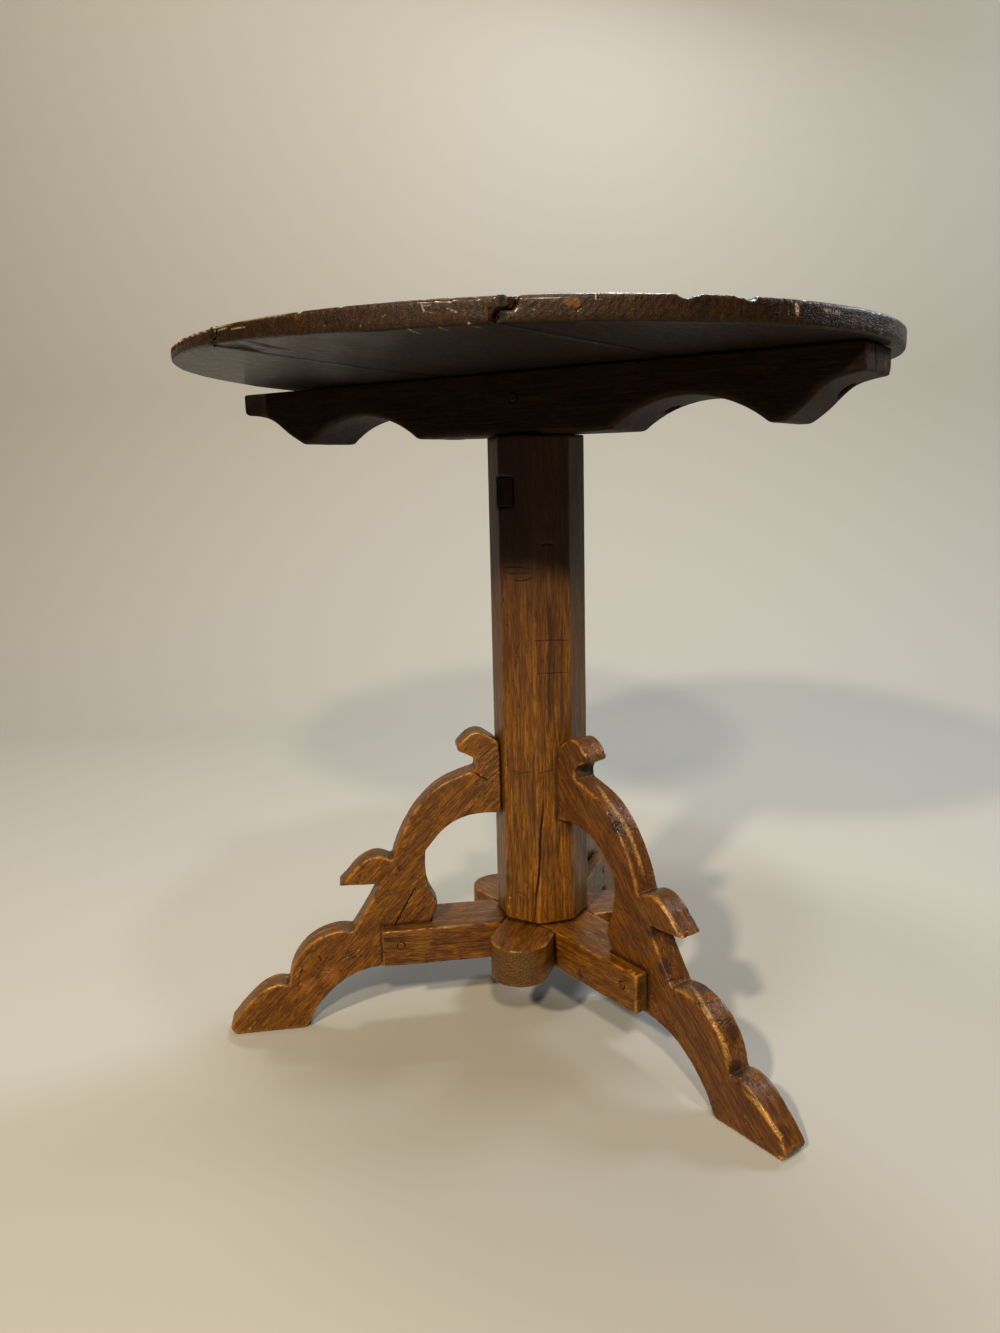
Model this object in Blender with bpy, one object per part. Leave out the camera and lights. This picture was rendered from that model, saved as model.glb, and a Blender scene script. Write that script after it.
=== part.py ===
# Pedestal table: a round lapped top on a scalloped bearer, an octagonal column,
# and a foot of three crossed bars that each carry a fretted plank leg.
# Lengths are metres and angles are degrees. +Z is up, the floor is at zero height,
# and the column stands on the Z axis. A bearing is measured from +X towards +Y.

import math

import bmesh
import bpy
from mathutils import Matrix, Vector

# Gap left between pieces that touch
FIT_GAP = 0.0003
# How far a cutting shape runs past the surface that it cuts
OVERRUN = 0.010

# Heights, from the floor up
BAR_LIFT = 0.075
BAR_HEIGHT = 0.043
COLUMN_LENGTH = 0.540
BEARER_DEPTH = 0.065
TOP_THICKNESS = 0.021

# Bearings
LEG_BEARINGS = {"left": 190.0, "right": 308.0, "back": 72.0}
BEARER_BEARING = -33.0
COLUMN_CORNER_BEARING = -95.0

# Round top, in three boards that lie across the bearer
TOP_RADIUS = 0.367
TOP_ARRIS = 0.002
# The underside is planed thinner towards the rim on one side
RIM_THINNING = 0.0085
THINNING_BEARING = -169.0
THINNING_START_share = 0.5
LEFT_JOINT_REACH = 0.086
RIGHT_JOINT_REACH = 0.178
LAP_WIDTH = 0.014
TOP_SIDES = 128

# Bearer, measured along its length from the column's axis
BEARER_WIDTH = 0.084
LEFT_ARCH_START = 0.131
LEFT_ARCH_SPAN = 0.165
LEFT_FLAT = 0.012
LEFT_TAIL = 0.098
RIGHT_ARCH_START = 0.112
RIGHT_ARCH_SPAN = 0.160
RIGHT_FLAT = 0.014
RIGHT_TAIL = 0.069
ARCH_RISE = 0.0285
BEARER_END_DEPTH = 0.026
BEARER_ARRIS = 0.0035
TAIL_shares = ((0.22, 0.29), (0.56, 0.81), (0.80, 0.95))
ARCH_STEPS = 18
BEARER_CURVE_STEPS = 6

# Column
COLUMN_FOOT_RADIUS = 0.0536
COLUMN_HEAD_RADIUS = 0.0524
COLUMN_SIDES = 8
HEAD_TENON_LENGTH = 0.050
HEAD_TENON_WIDTH = 0.030
HEAD_TENON_HEIGHT = 0.052
FOOT_TENON_RADIUS = 0.018
FOOT_TENON_SHORT = 0.001

# Wedge that spreads the foot tenon in the crossing of the bars
WEDGE_THICKNESS = 0.006
WEDGE_TAPER_share = 0.4
WEDGE_WIDTH_share = 0.84
WEDGE_HEIGHT = 0.026

# Patch let into the column's front face
PATCH_WIDTH = 0.020
PATCH_HEIGHT = 0.030
PATCH_DEPTH = 0.008
PATCH_LIFT_share = 0.892
PATCH_SIDE_share = -0.25

# Bars of the foot
BAR_WIDTH = 0.065
ARM_REACH = 0.190
LUG_REACH = 0.118
SLOT_DEPTH = 0.0575
LUG_STEPS = 20

# Plank legs
LEG_THICKNESS = 0.030
LEG_ARRIS = 0.0012
LEG_RISE = 0.2203
LEG_REACH = 0.3646
LEG_TENON_THICKNESS = 0.014
LEG_TENON_DEPTH = 0.020
LEG_TENON_SHOULDER = 0.010
LEG_CURVE_STEPS = 5

# Leg outline. The first share of a pair runs from the column's flat to the tip of the toe.
# The second runs from the bars' top to the top of the curl, or from the floor to the bars' top.
CURL_shares = ((0.0, 0.930), (0.0257, 0.966), (0.0739, 1.0), (0.128, 0.962), (0.1487, 0.909),
               (0.122, 0.884), (0.0885, 0.852))
CURL_NECK_share = (0.0862, 0.800)
BACK_shares = ((0.1376, 0.7785), (0.2134, 0.732), (0.2825, 0.650), (0.3373, 0.543), (0.3782, 0.424))
BACK_STEP_share = (0.3947, 0.350)
CREST_shares = ((0.430, 0.374), (0.4613, 0.376), (0.5149, 0.337), (0.5539, 0.279))
CREST_TIP_share = (0.5888, 0.229)
CREST_HEEL_share = (0.4439, 0.222)
FLANK_share = (0.493, 0.100)
SHOULDER_STEP_share = (0.5491, 0.958)
SHOULDER_shares = ((0.570, 0.976), (0.6240, 0.965), (0.6924, 0.890), (0.7397, 0.772), (0.7724, 0.625))
TOE_STEP_share = (0.7873, 0.462)
TOE_shares = ((0.8150, 0.482), (0.8431, 0.470), (0.8887, 0.410), (0.9439, 0.275), (0.9830, 0.155))
TOE_TIP_share = (1.0, 0.080)
SOLE_FRONT_share = 0.984
SOLE_BACK_share = 0.734
HEEL_shares = ((0.7219, 0.035), (0.7007, 0.146), (0.6519, 0.312), (0.5729, 0.480), (0.4959, 0.556))
INSTEP_share = 0.575
LOBE_TIP_share = (0.2359, 0.0967)
WAIST_shares = ((0.2640, 0.180), (0.2765, 0.290))
ARCH_CORNER_share = (0.2743, 0.384)
ARCH_shares = ((0.2508, 0.424), (0.2001, 0.500), (0.1503, 0.541), (0.0888, 0.562))
ARCH_SPRING_share = 0.556
CURL_FOOT_share = 0.885

# Pegs
BEARER_PEG_RADIUS = 0.005
BEARER_PEG_LIFT = 0.038
ARM_PEG_RADIUS = 0.004
ARM_PEG_PLACE_shares = (0.37, 0.57)
PEG_PROUD = 0.0008
PEG_SIDES = 16

# Screws that hold the boards down to the bearer
SCREW_HEAD_RADIUS = 0.0048
SCREW_SHANK_RADIUS = 0.0023
SCREW_LENGTH = 0.040
SCREW_SEAT = 0.028
SCREW_HEAD_share = 0.08
SCREW_POINT_share = 0.78
COUNTERBORE_RADIUS = 0.008
SCREW_SIDES = 12
SCREW_OFFSET = 0.027
LEFT_OUTER_SCREW_INSET = 0.0218
# Shares of the right arch's span, of the left joint's reach, and of the bearer past each joint
MIDDLE_RIGHT_SCREW_share = 0.22
MIDDLE_LEFT_SCREW_share = 0.79
RIGHT_SCREW_shares = (0.32, 0.806)
LEFT_INNER_SCREW_share = 0.084

BAR_TOP = BAR_LIFT + BAR_HEIGHT
COLUMN_TOP = BAR_TOP + COLUMN_LENGTH
BEARER_TOP = COLUMN_TOP + BEARER_DEPTH
TABLE_TOP = BEARER_TOP + TOP_THICKNESS
COLUMN_FLAT = COLUMN_FOOT_RADIUS * math.cos(math.pi / COLUMN_SIDES)
LEFT_REACH = LEFT_ARCH_START + LEFT_ARCH_SPAN + LEFT_FLAT + LEFT_TAIL
RIGHT_REACH = RIGHT_ARCH_START + RIGHT_ARCH_SPAN + RIGHT_FLAT + RIGHT_TAIL
ARM_SLOT_START = ARM_REACH - SLOT_DEPTH


def clear_scene():
    for item in list(bpy.data.objects):
        bpy.data.objects.remove(item, do_unlink=True)


def new_collection(name):
    collection = bpy.data.collections.new(name)
    bpy.context.scene.collection.children.link(collection)
    return collection


def wood(name, color, roughness):
    material = bpy.data.materials.new(name)
    material.use_nodes = True
    shader = material.node_tree.nodes["Principled BSDF"]
    shader.inputs["Base Color"].default_value = (*color, 1.0)
    shader.inputs["Roughness"].default_value = roughness
    return material


def iron(name):
    material = wood(name, (0.055, 0.045, 0.040), 0.6)
    material.node_tree.nodes["Principled BSDF"].inputs["Metallic"].default_value = 0.8
    return material


def place(mesh, name, collection, material=None):
    item = bpy.data.objects.new(name, mesh)
    collection.objects.link(item)
    if material is not None:
        mesh.materials.append(material)
    return item


def cutter(mesh, name):
    item = place(mesh, name, CUTTERS)
    item.display_type = "WIRE"
    item.hide_render = True
    return item


def combine(target, other, operation):
    modifier = target.modifiers.new(other.name, "BOOLEAN")
    modifier.object = other
    modifier.operation = operation
    modifier.solver = "EXACT"


def cut(target, other):
    combine(target, other, "DIFFERENCE")


def join(target, other):
    combine(target, other, "UNION")


def turn(bearing):
    return Matrix.Rotation(math.radians(bearing), 4, "Z")


def shift(x, y, z):
    return Matrix.Translation(Vector((x, y, z)))


def mesh_from(bm, name, matrix=None):
    if matrix is not None:
        bm.transform(matrix)
    bmesh.ops.recalc_face_normals(bm, faces=bm.faces)
    if bm.calc_volume(signed=True) < 0:
        bmesh.ops.reverse_faces(bm, faces=bm.faces)
    mesh = bpy.data.meshes.new(name)
    bm.to_mesh(mesh)
    bm.free()
    return mesh


def box_mesh(name, low, high, matrix=None):
    """A box from its low corner to its high corner."""
    bm = bmesh.new()
    bmesh.ops.create_cube(bm, size=1.0)
    low, high = Vector(low), Vector(high)
    size, middle = high - low, (high + low) / 2
    bmesh.ops.scale(bm, vec=size, verts=bm.verts)
    bmesh.ops.translate(bm, vec=middle, verts=bm.verts)
    return mesh_from(bm, name, matrix)


def rod_mesh(name, radius, low, high, sides, matrix=None):
    """A round rod along Z between two heights."""
    bm = bmesh.new()
    bmesh.ops.create_cone(bm, cap_ends=True, segments=sides, radius1=radius, radius2=radius,
                          depth=high - low)
    bmesh.ops.translate(bm, vec=(0, 0, (high + low) / 2), verts=bm.verts)
    return mesh_from(bm, name, matrix)


def smooth_round(mesh):
    mesh.shade_smooth()
    mesh.set_sharp_from_angle(angle=math.radians(40))


def ease_arrises(bm, width, below):
    """Chamfers the outline of a flat plate on both of its faces, up to a height in its outline."""
    rim = [edge for edge in bm.edges
           if len({round(abs(face.normal.z)) for face in edge.link_faces}) > 1
           and (edge.verts[0].co.y + edge.verts[1].co.y) / 2 < below]
    bmesh.ops.bevel(bm, geom=rim, offset=width, segments=1, profile=0.5, affect="EDGES", clamp_overlap=True)


def plate_mesh(name, points, thickness, matrix, steps=1, arris=0.0, below=math.inf):
    """A flat outline given thickness. A point is (x, y, is_smooth), and a smooth one is on a curve."""
    curve = bpy.data.curves.new(name, "CURVE")
    curve.dimensions = "2D"
    curve.fill_mode = "BOTH"
    curve.extrude = thickness / 2
    curve.resolution_u = steps
    spline = curve.splines.new("BEZIER")
    spline.bezier_points.add(len(points) - 1)
    spline.use_cyclic_u = True
    for knot, (x, y, is_smooth) in zip(spline.bezier_points, points):
        knot.co = (x, y, 0)
        knot.handle_left_type = knot.handle_right_type = "AUTO" if is_smooth else "VECTOR"
    item = bpy.data.objects.new(name, curve)
    bpy.context.scene.collection.objects.link(item)
    drawn = item.evaluated_get(bpy.context.evaluated_depsgraph_get())
    mesh = bpy.data.meshes.new_from_object(drawn)
    bm = bmesh.new()
    bm.from_mesh(mesh)
    bmesh.ops.remove_doubles(bm, verts=bm.verts, dist=FIT_GAP / 10)
    bmesh.ops.dissolve_limit(bm, angle_limit=math.radians(0.3), verts=bm.verts, edges=bm.edges)
    if arris:
        ease_arrises(bm, arris, below)
    bpy.data.objects.remove(item, do_unlink=True)
    bpy.data.curves.remove(curve)
    return mesh_from(bm, name, matrix)


def corners(points):
    return [(x, y, False) for x, y in points]


def bend(points):
    return [(x, y, True) for x, y in points]


def arc(center_x, center_y, radius, start, end, steps):
    """Points along a circular arc, its two ends included."""
    angles = [math.radians(start + (end - start) * step / steps) for step in range(steps + 1)]
    return [(center_x + radius * math.cos(a), center_y + radius * math.sin(a)) for a in angles]


def turned_mesh(name, profile, sides, matrix):
    """A solid of revolution about Z from (radius, height) points that start and end on the axis."""
    bm = bmesh.new()
    verts = [bm.verts.new((radius, 0, height)) for radius, height in profile]
    edges = [bm.edges.new(pair) for pair in zip(verts, verts[1:])]
    bmesh.ops.spin(bm, geom=verts + edges, cent=(0, 0, 0), axis=(0, 0, 1), angle=math.tau,
                   steps=sides, use_merge=True)
    bmesh.ops.remove_doubles(bm, verts=bm.verts, dist=FIT_GAP / 10)
    return mesh_from(bm, name, matrix)


# Column

def octagon_mesh(name, foot_radius, head_radius, low, high):
    """The column's tapered octagon between two heights, drawn through its foot and head radius."""
    def radius_at(height):
        along = (height - BAR_TOP) / COLUMN_LENGTH
        return foot_radius + (head_radius - foot_radius) * along

    bm = bmesh.new()
    bmesh.ops.create_cone(bm, cap_ends=True, segments=COLUMN_SIDES, radius1=radius_at(low),
                          radius2=radius_at(high), depth=high - low)
    corner = next(iter(bm.verts)).co
    first_corner = math.degrees(math.atan2(corner.y, corner.x))
    bmesh.ops.translate(bm, vec=(0, 0, (high + low) / 2), verts=bm.verts)
    return mesh_from(bm, name, turn(COLUMN_CORNER_BEARING - first_corner))


def head_tenon_mesh(name, gap):
    half_length = HEAD_TENON_LENGTH / 2 + gap
    half_width = HEAD_TENON_WIDTH / 2 + gap
    low = (-half_length, -half_width, COLUMN_TOP - OVERRUN)
    high = (half_length, half_width, COLUMN_TOP + HEAD_TENON_HEIGHT + gap)
    return box_mesh(name, low, high, turn(BEARER_BEARING))


def foot_tenon_mesh(name, gap):
    low = BAR_LIFT + FOOT_TENON_SHORT if gap == 0 else BAR_LIFT - OVERRUN
    return rod_mesh(name, FOOT_TENON_RADIUS + gap, low, BAR_TOP + OVERRUN, 2 * PEG_SIDES)


def wedge_mesh(name, gap):
    """The wedge stands across the foot tenon and narrows upwards. With a gap it is its slot."""
    base = BAR_LIFT + FOOT_TENON_SHORT
    half_width = FOOT_TENON_RADIUS * WEDGE_WIDTH_share + gap
    foot = -OVERRUN if gap else 0
    head = WEDGE_HEIGHT + gap
    bm = bmesh.new()
    bmesh.ops.create_cube(bm, size=1.0)
    for vert in bm.verts:
        up = head if vert.co.z > 0 else foot
        share = 1 - (1 - WEDGE_TAPER_share) * up / WEDGE_HEIGHT
        vert.co.x = math.copysign(WEDGE_THICKNESS / 2 * share + gap, vert.co.x)
        vert.co.y = math.copysign(half_width, vert.co.y)
        vert.co.z = base + up
    return mesh_from(bm, name, turn(LEG_BEARINGS["left"]))


def patch_mesh(name, gap):
    """A rectangle on the column's front left face, its outer side a hair inside the face."""
    face_bearing = COLUMN_CORNER_BEARING - 180 / COLUMN_SIDES
    height = BAR_TOP + COLUMN_LENGTH * PATCH_LIFT_share
    along = (height - BAR_TOP) / COLUMN_LENGTH
    corner_radius = COLUMN_FOOT_RADIUS + (COLUMN_HEAD_RADIUS - COLUMN_FOOT_RADIUS) * along
    face = corner_radius * math.cos(math.pi / COLUMN_SIDES)
    side = corner_radius * PATCH_SIDE_share
    outer = face + OVERRUN if gap else face - FIT_GAP
    low = (face - PATCH_DEPTH - gap, side - PATCH_WIDTH / 2 - gap, height - PATCH_HEIGHT / 2 - gap)
    high = (outer, side + PATCH_WIDTH / 2 + gap, height + PATCH_HEIGHT / 2 + gap)
    return box_mesh(name, low, high, turn(face_bearing))


def build_column():
    mesh = octagon_mesh("column", COLUMN_FOOT_RADIUS, COLUMN_HEAD_RADIUS, BAR_TOP + FIT_GAP, COLUMN_TOP)
    column = place(mesh, "column", PARTS, wood("column_wood", (0.16, 0.085, 0.04), 0.45))
    join(column, cutter(head_tenon_mesh("column_head_tenon", 0), "column_head_tenon"))
    join(column, cutter(foot_tenon_mesh("column_foot_tenon", 0), "column_foot_tenon"))
    for side, bearing in LEG_BEARINGS.items():
        name = "leg_mortise_" + side
        cut(column, cutter(leg_tenon_mesh(name, bearing, FIT_GAP), name))
    cut(column, cutter(patch_mesh("patch_recess", FIT_GAP), "patch_recess"))
    cut(column, cutter(bearer_peg_mesh("column_peg_hole", FIT_GAP), "column_peg_hole"))
    cut(column, cutter(wedge_mesh("wedge_slot", FIT_GAP), "wedge_slot"))
    place(patch_mesh("column_patch", 0), "column_patch", PARTS, wood("patch_wood", (0.10, 0.05, 0.025), 0.5))
    place(wedge_mesh("column_foot_wedge", 0), "column_foot_wedge", PARTS,
          wood("wedge_wood", (0.30, 0.18, 0.09), 0.6))


# Bars of the foot

def bar_outline():
    """Seen from above, with the forked arm towards +X and the rounded lug towards -X."""
    half = BAR_WIDTH / 2
    slot_half = LEG_THICKNESS / 2 + FIT_GAP
    arm = [(ARM_REACH, slot_half), (ARM_REACH, half)]
    lug = arc(half - LUG_REACH, 0, half, 90, 270, LUG_STEPS)
    fork = [(ARM_REACH, -half), (ARM_REACH, -slot_half), (ARM_SLOT_START, -slot_half),
            (ARM_SLOT_START, slot_half)]
    return corners(arm + lug + fork)


def lap_mesh(name, bearing, low, high):
    """The space that a crossing bar takes between two heights."""
    half = BAR_WIDTH / 2 + FIT_GAP
    return box_mesh(name, (-ARM_REACH, -half, low), (ARM_REACH, half, high), turn(bearing))


def arm_peg_mesh(name, bearing, gap):
    along, up = ARM_PEG_PLACE_shares
    reach = BAR_WIDTH / 2 + (OVERRUN if gap else PEG_PROUD)
    matrix = (turn(bearing) @ shift(ARM_REACH - SLOT_DEPTH * along, 0, BAR_LIFT + BAR_HEIGHT * up)
              @ Matrix.Rotation(math.radians(90), 4, "X"))
    return rod_mesh(name, ARM_PEG_RADIUS + gap, -reach, reach, PEG_SIDES, matrix)


def build_bars():
    """The three bars halve together in thirds of their height: left lowest, back between, right on top."""
    order = ("left", "back", "right")
    third = BAR_HEIGHT / 3
    half_gap = FIT_GAP / 2
    outline = bar_outline()
    for level, side in enumerate(order):
        bearing = LEG_BEARINGS[side]
        raise_up = turn(bearing) @ shift(0, 0, BAR_LIFT + BAR_HEIGHT / 2)
        name = "foot_bar_" + side
        bar = place(plate_mesh(name, outline, BAR_HEIGHT, raise_up), name, PARTS,
                    wood(name + "_wood", (0.23, 0.12, 0.055), 0.45))
        for other_level, other in enumerate(order):
            if other_level < level:
                low = BAR_LIFT - OVERRUN
                high = BAR_LIFT + third * (other_level + 1) + half_gap
            elif other_level > level:
                low = BAR_LIFT + third * (level + 1) - half_gap
                high = BAR_TOP + OVERRUN
            else:
                continue
            lap = "lap_" + side + "_" + other
            cut(bar, cutter(lap_mesh(lap, LEG_BEARINGS[other], low, high), lap))
        hole = "foot_tenon_hole_" + side
        cut(bar, cutter(foot_tenon_mesh(hole, FIT_GAP), hole))
        peg_hole = "bar_peg_hole_" + side
        cut(bar, cutter(arm_peg_mesh(peg_hole, bearing, FIT_GAP), peg_hole))
        peg = "arm_peg_" + side
        peg_mesh = arm_peg_mesh(peg, bearing, 0)
        smooth_round(peg_mesh)
        place(peg_mesh, peg, PARTS, wood(peg + "_wood", (0.12, 0.065, 0.03), 0.5))


# Plank legs

def leg_out(share):
    return COLUMN_FLAT + (LEG_REACH - COLUMN_FLAT) * share


def above_bar(pairs):
    return [(leg_out(out), BAR_TOP + LEG_RISE * up) for out, up in pairs]


def below_bar(pairs):
    return [(leg_out(out), BAR_TOP * up) for out, up in pairs]


def leg_outline():
    """Seen from the side, with the toe towards +X. The inner end is buried in the column."""
    buried = COLUMN_FLAT - LEG_TENON_DEPTH / 2
    slot_end = ARM_SLOT_START + FIT_GAP
    points = [(buried, BAR_TOP + LEG_RISE * CURL_FOOT_share, False)]
    points += corners(above_bar([(0.0, CURL_FOOT_share)]))
    points += bend(above_bar(CURL_shares))
    points += corners(above_bar([CURL_NECK_share]))
    points += bend(above_bar(BACK_shares))
    points += corners(above_bar([BACK_STEP_share]))
    points += bend(above_bar(CREST_shares))
    points += corners(above_bar([CREST_TIP_share, CREST_HEEL_share]))
    points += bend(above_bar([FLANK_share]))
    points += corners(below_bar([SHOULDER_STEP_share]))
    points += bend(below_bar(SHOULDER_shares))
    points += corners(below_bar([TOE_STEP_share]))
    points += bend(below_bar([*TOE_shares, TOE_TIP_share]))
    points += corners([(leg_out(SOLE_FRONT_share), 0), (leg_out(SOLE_BACK_share), 0)])
    points += bend(below_bar(HEEL_shares))
    points += corners([(ARM_REACH, BAR_TOP * INSTEP_share), (slot_end, BAR_LIFT), (slot_end, BAR_TOP)])
    points += corners(above_bar([LOBE_TIP_share]))
    points += bend(above_bar(WAIST_shares))
    points += corners(above_bar([ARCH_CORNER_share]))
    points += bend(above_bar(ARCH_shares))
    points += corners([(buried, BAR_TOP + LEG_RISE * ARCH_SPRING_share)])
    return points


def leg_tenon_mesh(name, bearing, gap):
    half = LEG_TENON_THICKNESS / 2 + gap
    low = BAR_TOP + LEG_RISE * ARCH_SPRING_share + LEG_TENON_SHOULDER - gap
    high = BAR_TOP + LEG_RISE * CURL_FOOT_share - LEG_TENON_SHOULDER + gap
    inner = COLUMN_FLAT - LEG_TENON_DEPTH - gap
    outer = COLUMN_FOOT_RADIUS + OVERRUN
    return box_mesh(name, (inner, -half, low), (outer, half, high), turn(bearing))


def build_legs():
    outline = leg_outline()
    skin = FIT_GAP / math.cos(math.pi / COLUMN_SIDES)
    shape = octagon_mesh("column_seat", COLUMN_FOOT_RADIUS + skin, COLUMN_HEAD_RADIUS + skin,
                         BAR_TOP - OVERRUN, COLUMN_TOP)
    seat = cutter(shape, "column_seat")
    for side, bearing in LEG_BEARINGS.items():
        stand = turn(bearing) @ Matrix.Rotation(math.radians(90), 4, "X")
        name = "leg_" + side
        mesh = plate_mesh(name, outline, LEG_THICKNESS, stand, LEG_CURVE_STEPS, LEG_ARRIS)
        leg = place(mesh, name, PARTS, wood(name + "_wood", (0.26, 0.13, 0.055), 0.42))
        cut(leg, seat)
        tenon = "leg_tenon_" + side
        join(leg, cutter(leg_tenon_mesh(tenon, bearing, 0), tenon))
        peg_hole = "leg_peg_hole_" + side
        cut(leg, cutter(arm_peg_mesh(peg_hole, bearing, FIT_GAP), peg_hole))


# Bearer

def tail(start, flat, reach):
    """The sweep from the low flat up to the thin end, for one side of the bearer."""
    sign = math.copysign(1, reach)
    foot = start + sign * flat
    rise = BEARER_DEPTH - BEARER_END_DEPTH
    sweep = [(foot + (reach - foot) * along, rise * up, True) for along, up in TAIL_shares]
    return [(foot, 0, False)] + sweep + [(reach, rise, False), (reach, BEARER_DEPTH, False)]


def bearer_arch(start, span):
    """A segmental arch cut up into the bearer, from its inner foot outwards."""
    half = span / 2
    radius = (half ** 2 + ARCH_RISE ** 2) / (2 * ARCH_RISE)
    spread = math.degrees(math.asin(half / radius))
    middle = start + half
    return corners(arc(middle, ARCH_RISE - radius, radius, 90 + spread, 90 - spread, ARCH_STEPS))


def bearer_outline():
    right_foot = RIGHT_ARCH_START + RIGHT_ARCH_SPAN
    left_foot = LEFT_ARCH_START + LEFT_ARCH_SPAN
    points = bearer_arch(RIGHT_ARCH_START, RIGHT_ARCH_SPAN)
    points += tail(right_foot, RIGHT_FLAT, RIGHT_REACH)
    points += list(reversed(tail(-left_foot, LEFT_FLAT, -LEFT_REACH)))
    points += bearer_arch(-left_foot, LEFT_ARCH_SPAN)
    return points


def bearer_peg_mesh(name, gap):
    reach = BEARER_WIDTH / 2 + (OVERRUN if gap else PEG_PROUD)
    matrix = (turn(BEARER_BEARING) @ shift(0, 0, COLUMN_TOP + BEARER_PEG_LIFT)
              @ Matrix.Rotation(math.radians(90), 4, "X"))
    return rod_mesh(name, BEARER_PEG_RADIUS + gap, -reach, reach, PEG_SIDES, matrix)


def screw_places():
    """Two screws for each board, named and measured along the bearer."""
    right_span = min(RIGHT_REACH, TOP_RADIUS) - RIGHT_JOINT_REACH
    left_span = LEFT_REACH - LEFT_JOINT_REACH
    right_inner, right_outer = RIGHT_SCREW_shares
    return {
        "middle_right": RIGHT_ARCH_START + RIGHT_ARCH_SPAN * MIDDLE_RIGHT_SCREW_share,
        "middle_left": -LEFT_JOINT_REACH * MIDDLE_LEFT_SCREW_share,
        "right_inner": RIGHT_JOINT_REACH + right_span * right_inner,
        "right_outer": RIGHT_JOINT_REACH + right_span * right_outer,
        "left_inner": -LEFT_JOINT_REACH - left_span * LEFT_INNER_SCREW_share,
        "left_outer": LEFT_OUTER_SCREW_INSET - min(LEFT_REACH, TOP_RADIUS),
    }


def screw_mesh(name, along, gap):
    """A countersunk screw, head down, near the bearer's back. With a gap it is the hole, open below."""
    head = SCREW_HEAD_RADIUS + gap
    shank = SCREW_SHANK_RADIUS + gap
    seat = BEARER_TOP - SCREW_SEAT
    neck = seat + SCREW_LENGTH * SCREW_HEAD_share + gap
    point = seat + SCREW_LENGTH * SCREW_POINT_share
    tip = seat + SCREW_LENGTH + gap
    profile = [(0, seat), (head, seat), (shank, neck), (shank, point), (0, tip)]
    if gap:
        low = COLUMN_TOP - OVERRUN
        profile = [(0, low), (COUNTERBORE_RADIUS, low), (COUNTERBORE_RADIUS, seat)] + profile[1:]
    return turned_mesh(name, profile, SCREW_SIDES, turn(BEARER_BEARING) @ shift(along, SCREW_OFFSET, 0))


def build_bearer():
    middle = (turn(BEARER_BEARING) @ shift(0, 0, COLUMN_TOP + FIT_GAP)
              @ Matrix.Rotation(math.radians(90), 4, "X"))
    outline = [(x, y * (1 - FIT_GAP / BEARER_DEPTH), smooth) for x, y, smooth in bearer_outline()]
    mesh = plate_mesh("bearer", outline, BEARER_WIDTH, middle, BEARER_CURVE_STEPS, BEARER_ARRIS,
                      BEARER_DEPTH - BEARER_END_DEPTH)
    bearer = place(mesh, "bearer", PARTS, wood("bearer_wood", (0.045, 0.024, 0.015), 0.45))
    cut(bearer, cutter(head_tenon_mesh("bearer_mortise", FIT_GAP), "bearer_mortise"))
    cut(bearer, cutter(bearer_peg_mesh("bearer_peg_hole", FIT_GAP), "bearer_peg_hole"))
    peg_mesh = bearer_peg_mesh("bearer_peg", 0)
    smooth_round(peg_mesh)
    place(peg_mesh, "bearer_peg", PARTS, wood("bearer_peg_wood", (0.06, 0.035, 0.02), 0.5))
    holes = {}
    for name, along in screw_places().items():
        hole = cutter(screw_mesh("hole_" + name, along, FIT_GAP), "hole_" + name)
        cut(bearer, hole)
        holes[name] = hole
        mesh = screw_mesh("screw_" + name, along, 0)
        smooth_round(mesh)
        place(mesh, "screw_" + name, PARTS, iron("screw_iron_" + name))
    return holes


# Round top

def disc_mesh(name):
    """The whole round top with its arrises eased, before it is divided into boards."""
    low = BEARER_TOP + FIT_GAP
    bm = bmesh.new()
    bmesh.ops.create_cone(bm, cap_ends=True, segments=TOP_SIDES, radius1=TOP_RADIUS,
                          radius2=TOP_RADIUS, depth=TABLE_TOP - low)
    bmesh.ops.translate(bm, vec=(0, 0, (TABLE_TOP + low) / 2), verts=bm.verts)
    rim = [edge for edge in bm.edges if abs(edge.verts[0].co.z - edge.verts[1].co.z) < FIT_GAP]
    bmesh.ops.bevel(bm, geom=rim, offset=TOP_ARRIS, segments=2, profile=0.5, affect="EDGES")
    return mesh_from(bm, name)


def thinning_mesh(name):
    """A tilted block that planes the underside away, more and more towards the rim."""
    start = TOP_RADIUS * THINNING_START_share
    slope = math.atan2(RIM_THINNING, TOP_RADIUS - start)
    edge = TOP_RADIUS + OVERRUN
    matrix = (turn(THINNING_BEARING) @ shift(start, 0, BEARER_TOP + FIT_GAP)
              @ Matrix.Rotation(-slope, 4, "Y"))
    return box_mesh(name, (0, -edge, -2 * OVERRUN), (edge, edge, 0), matrix)


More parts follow.
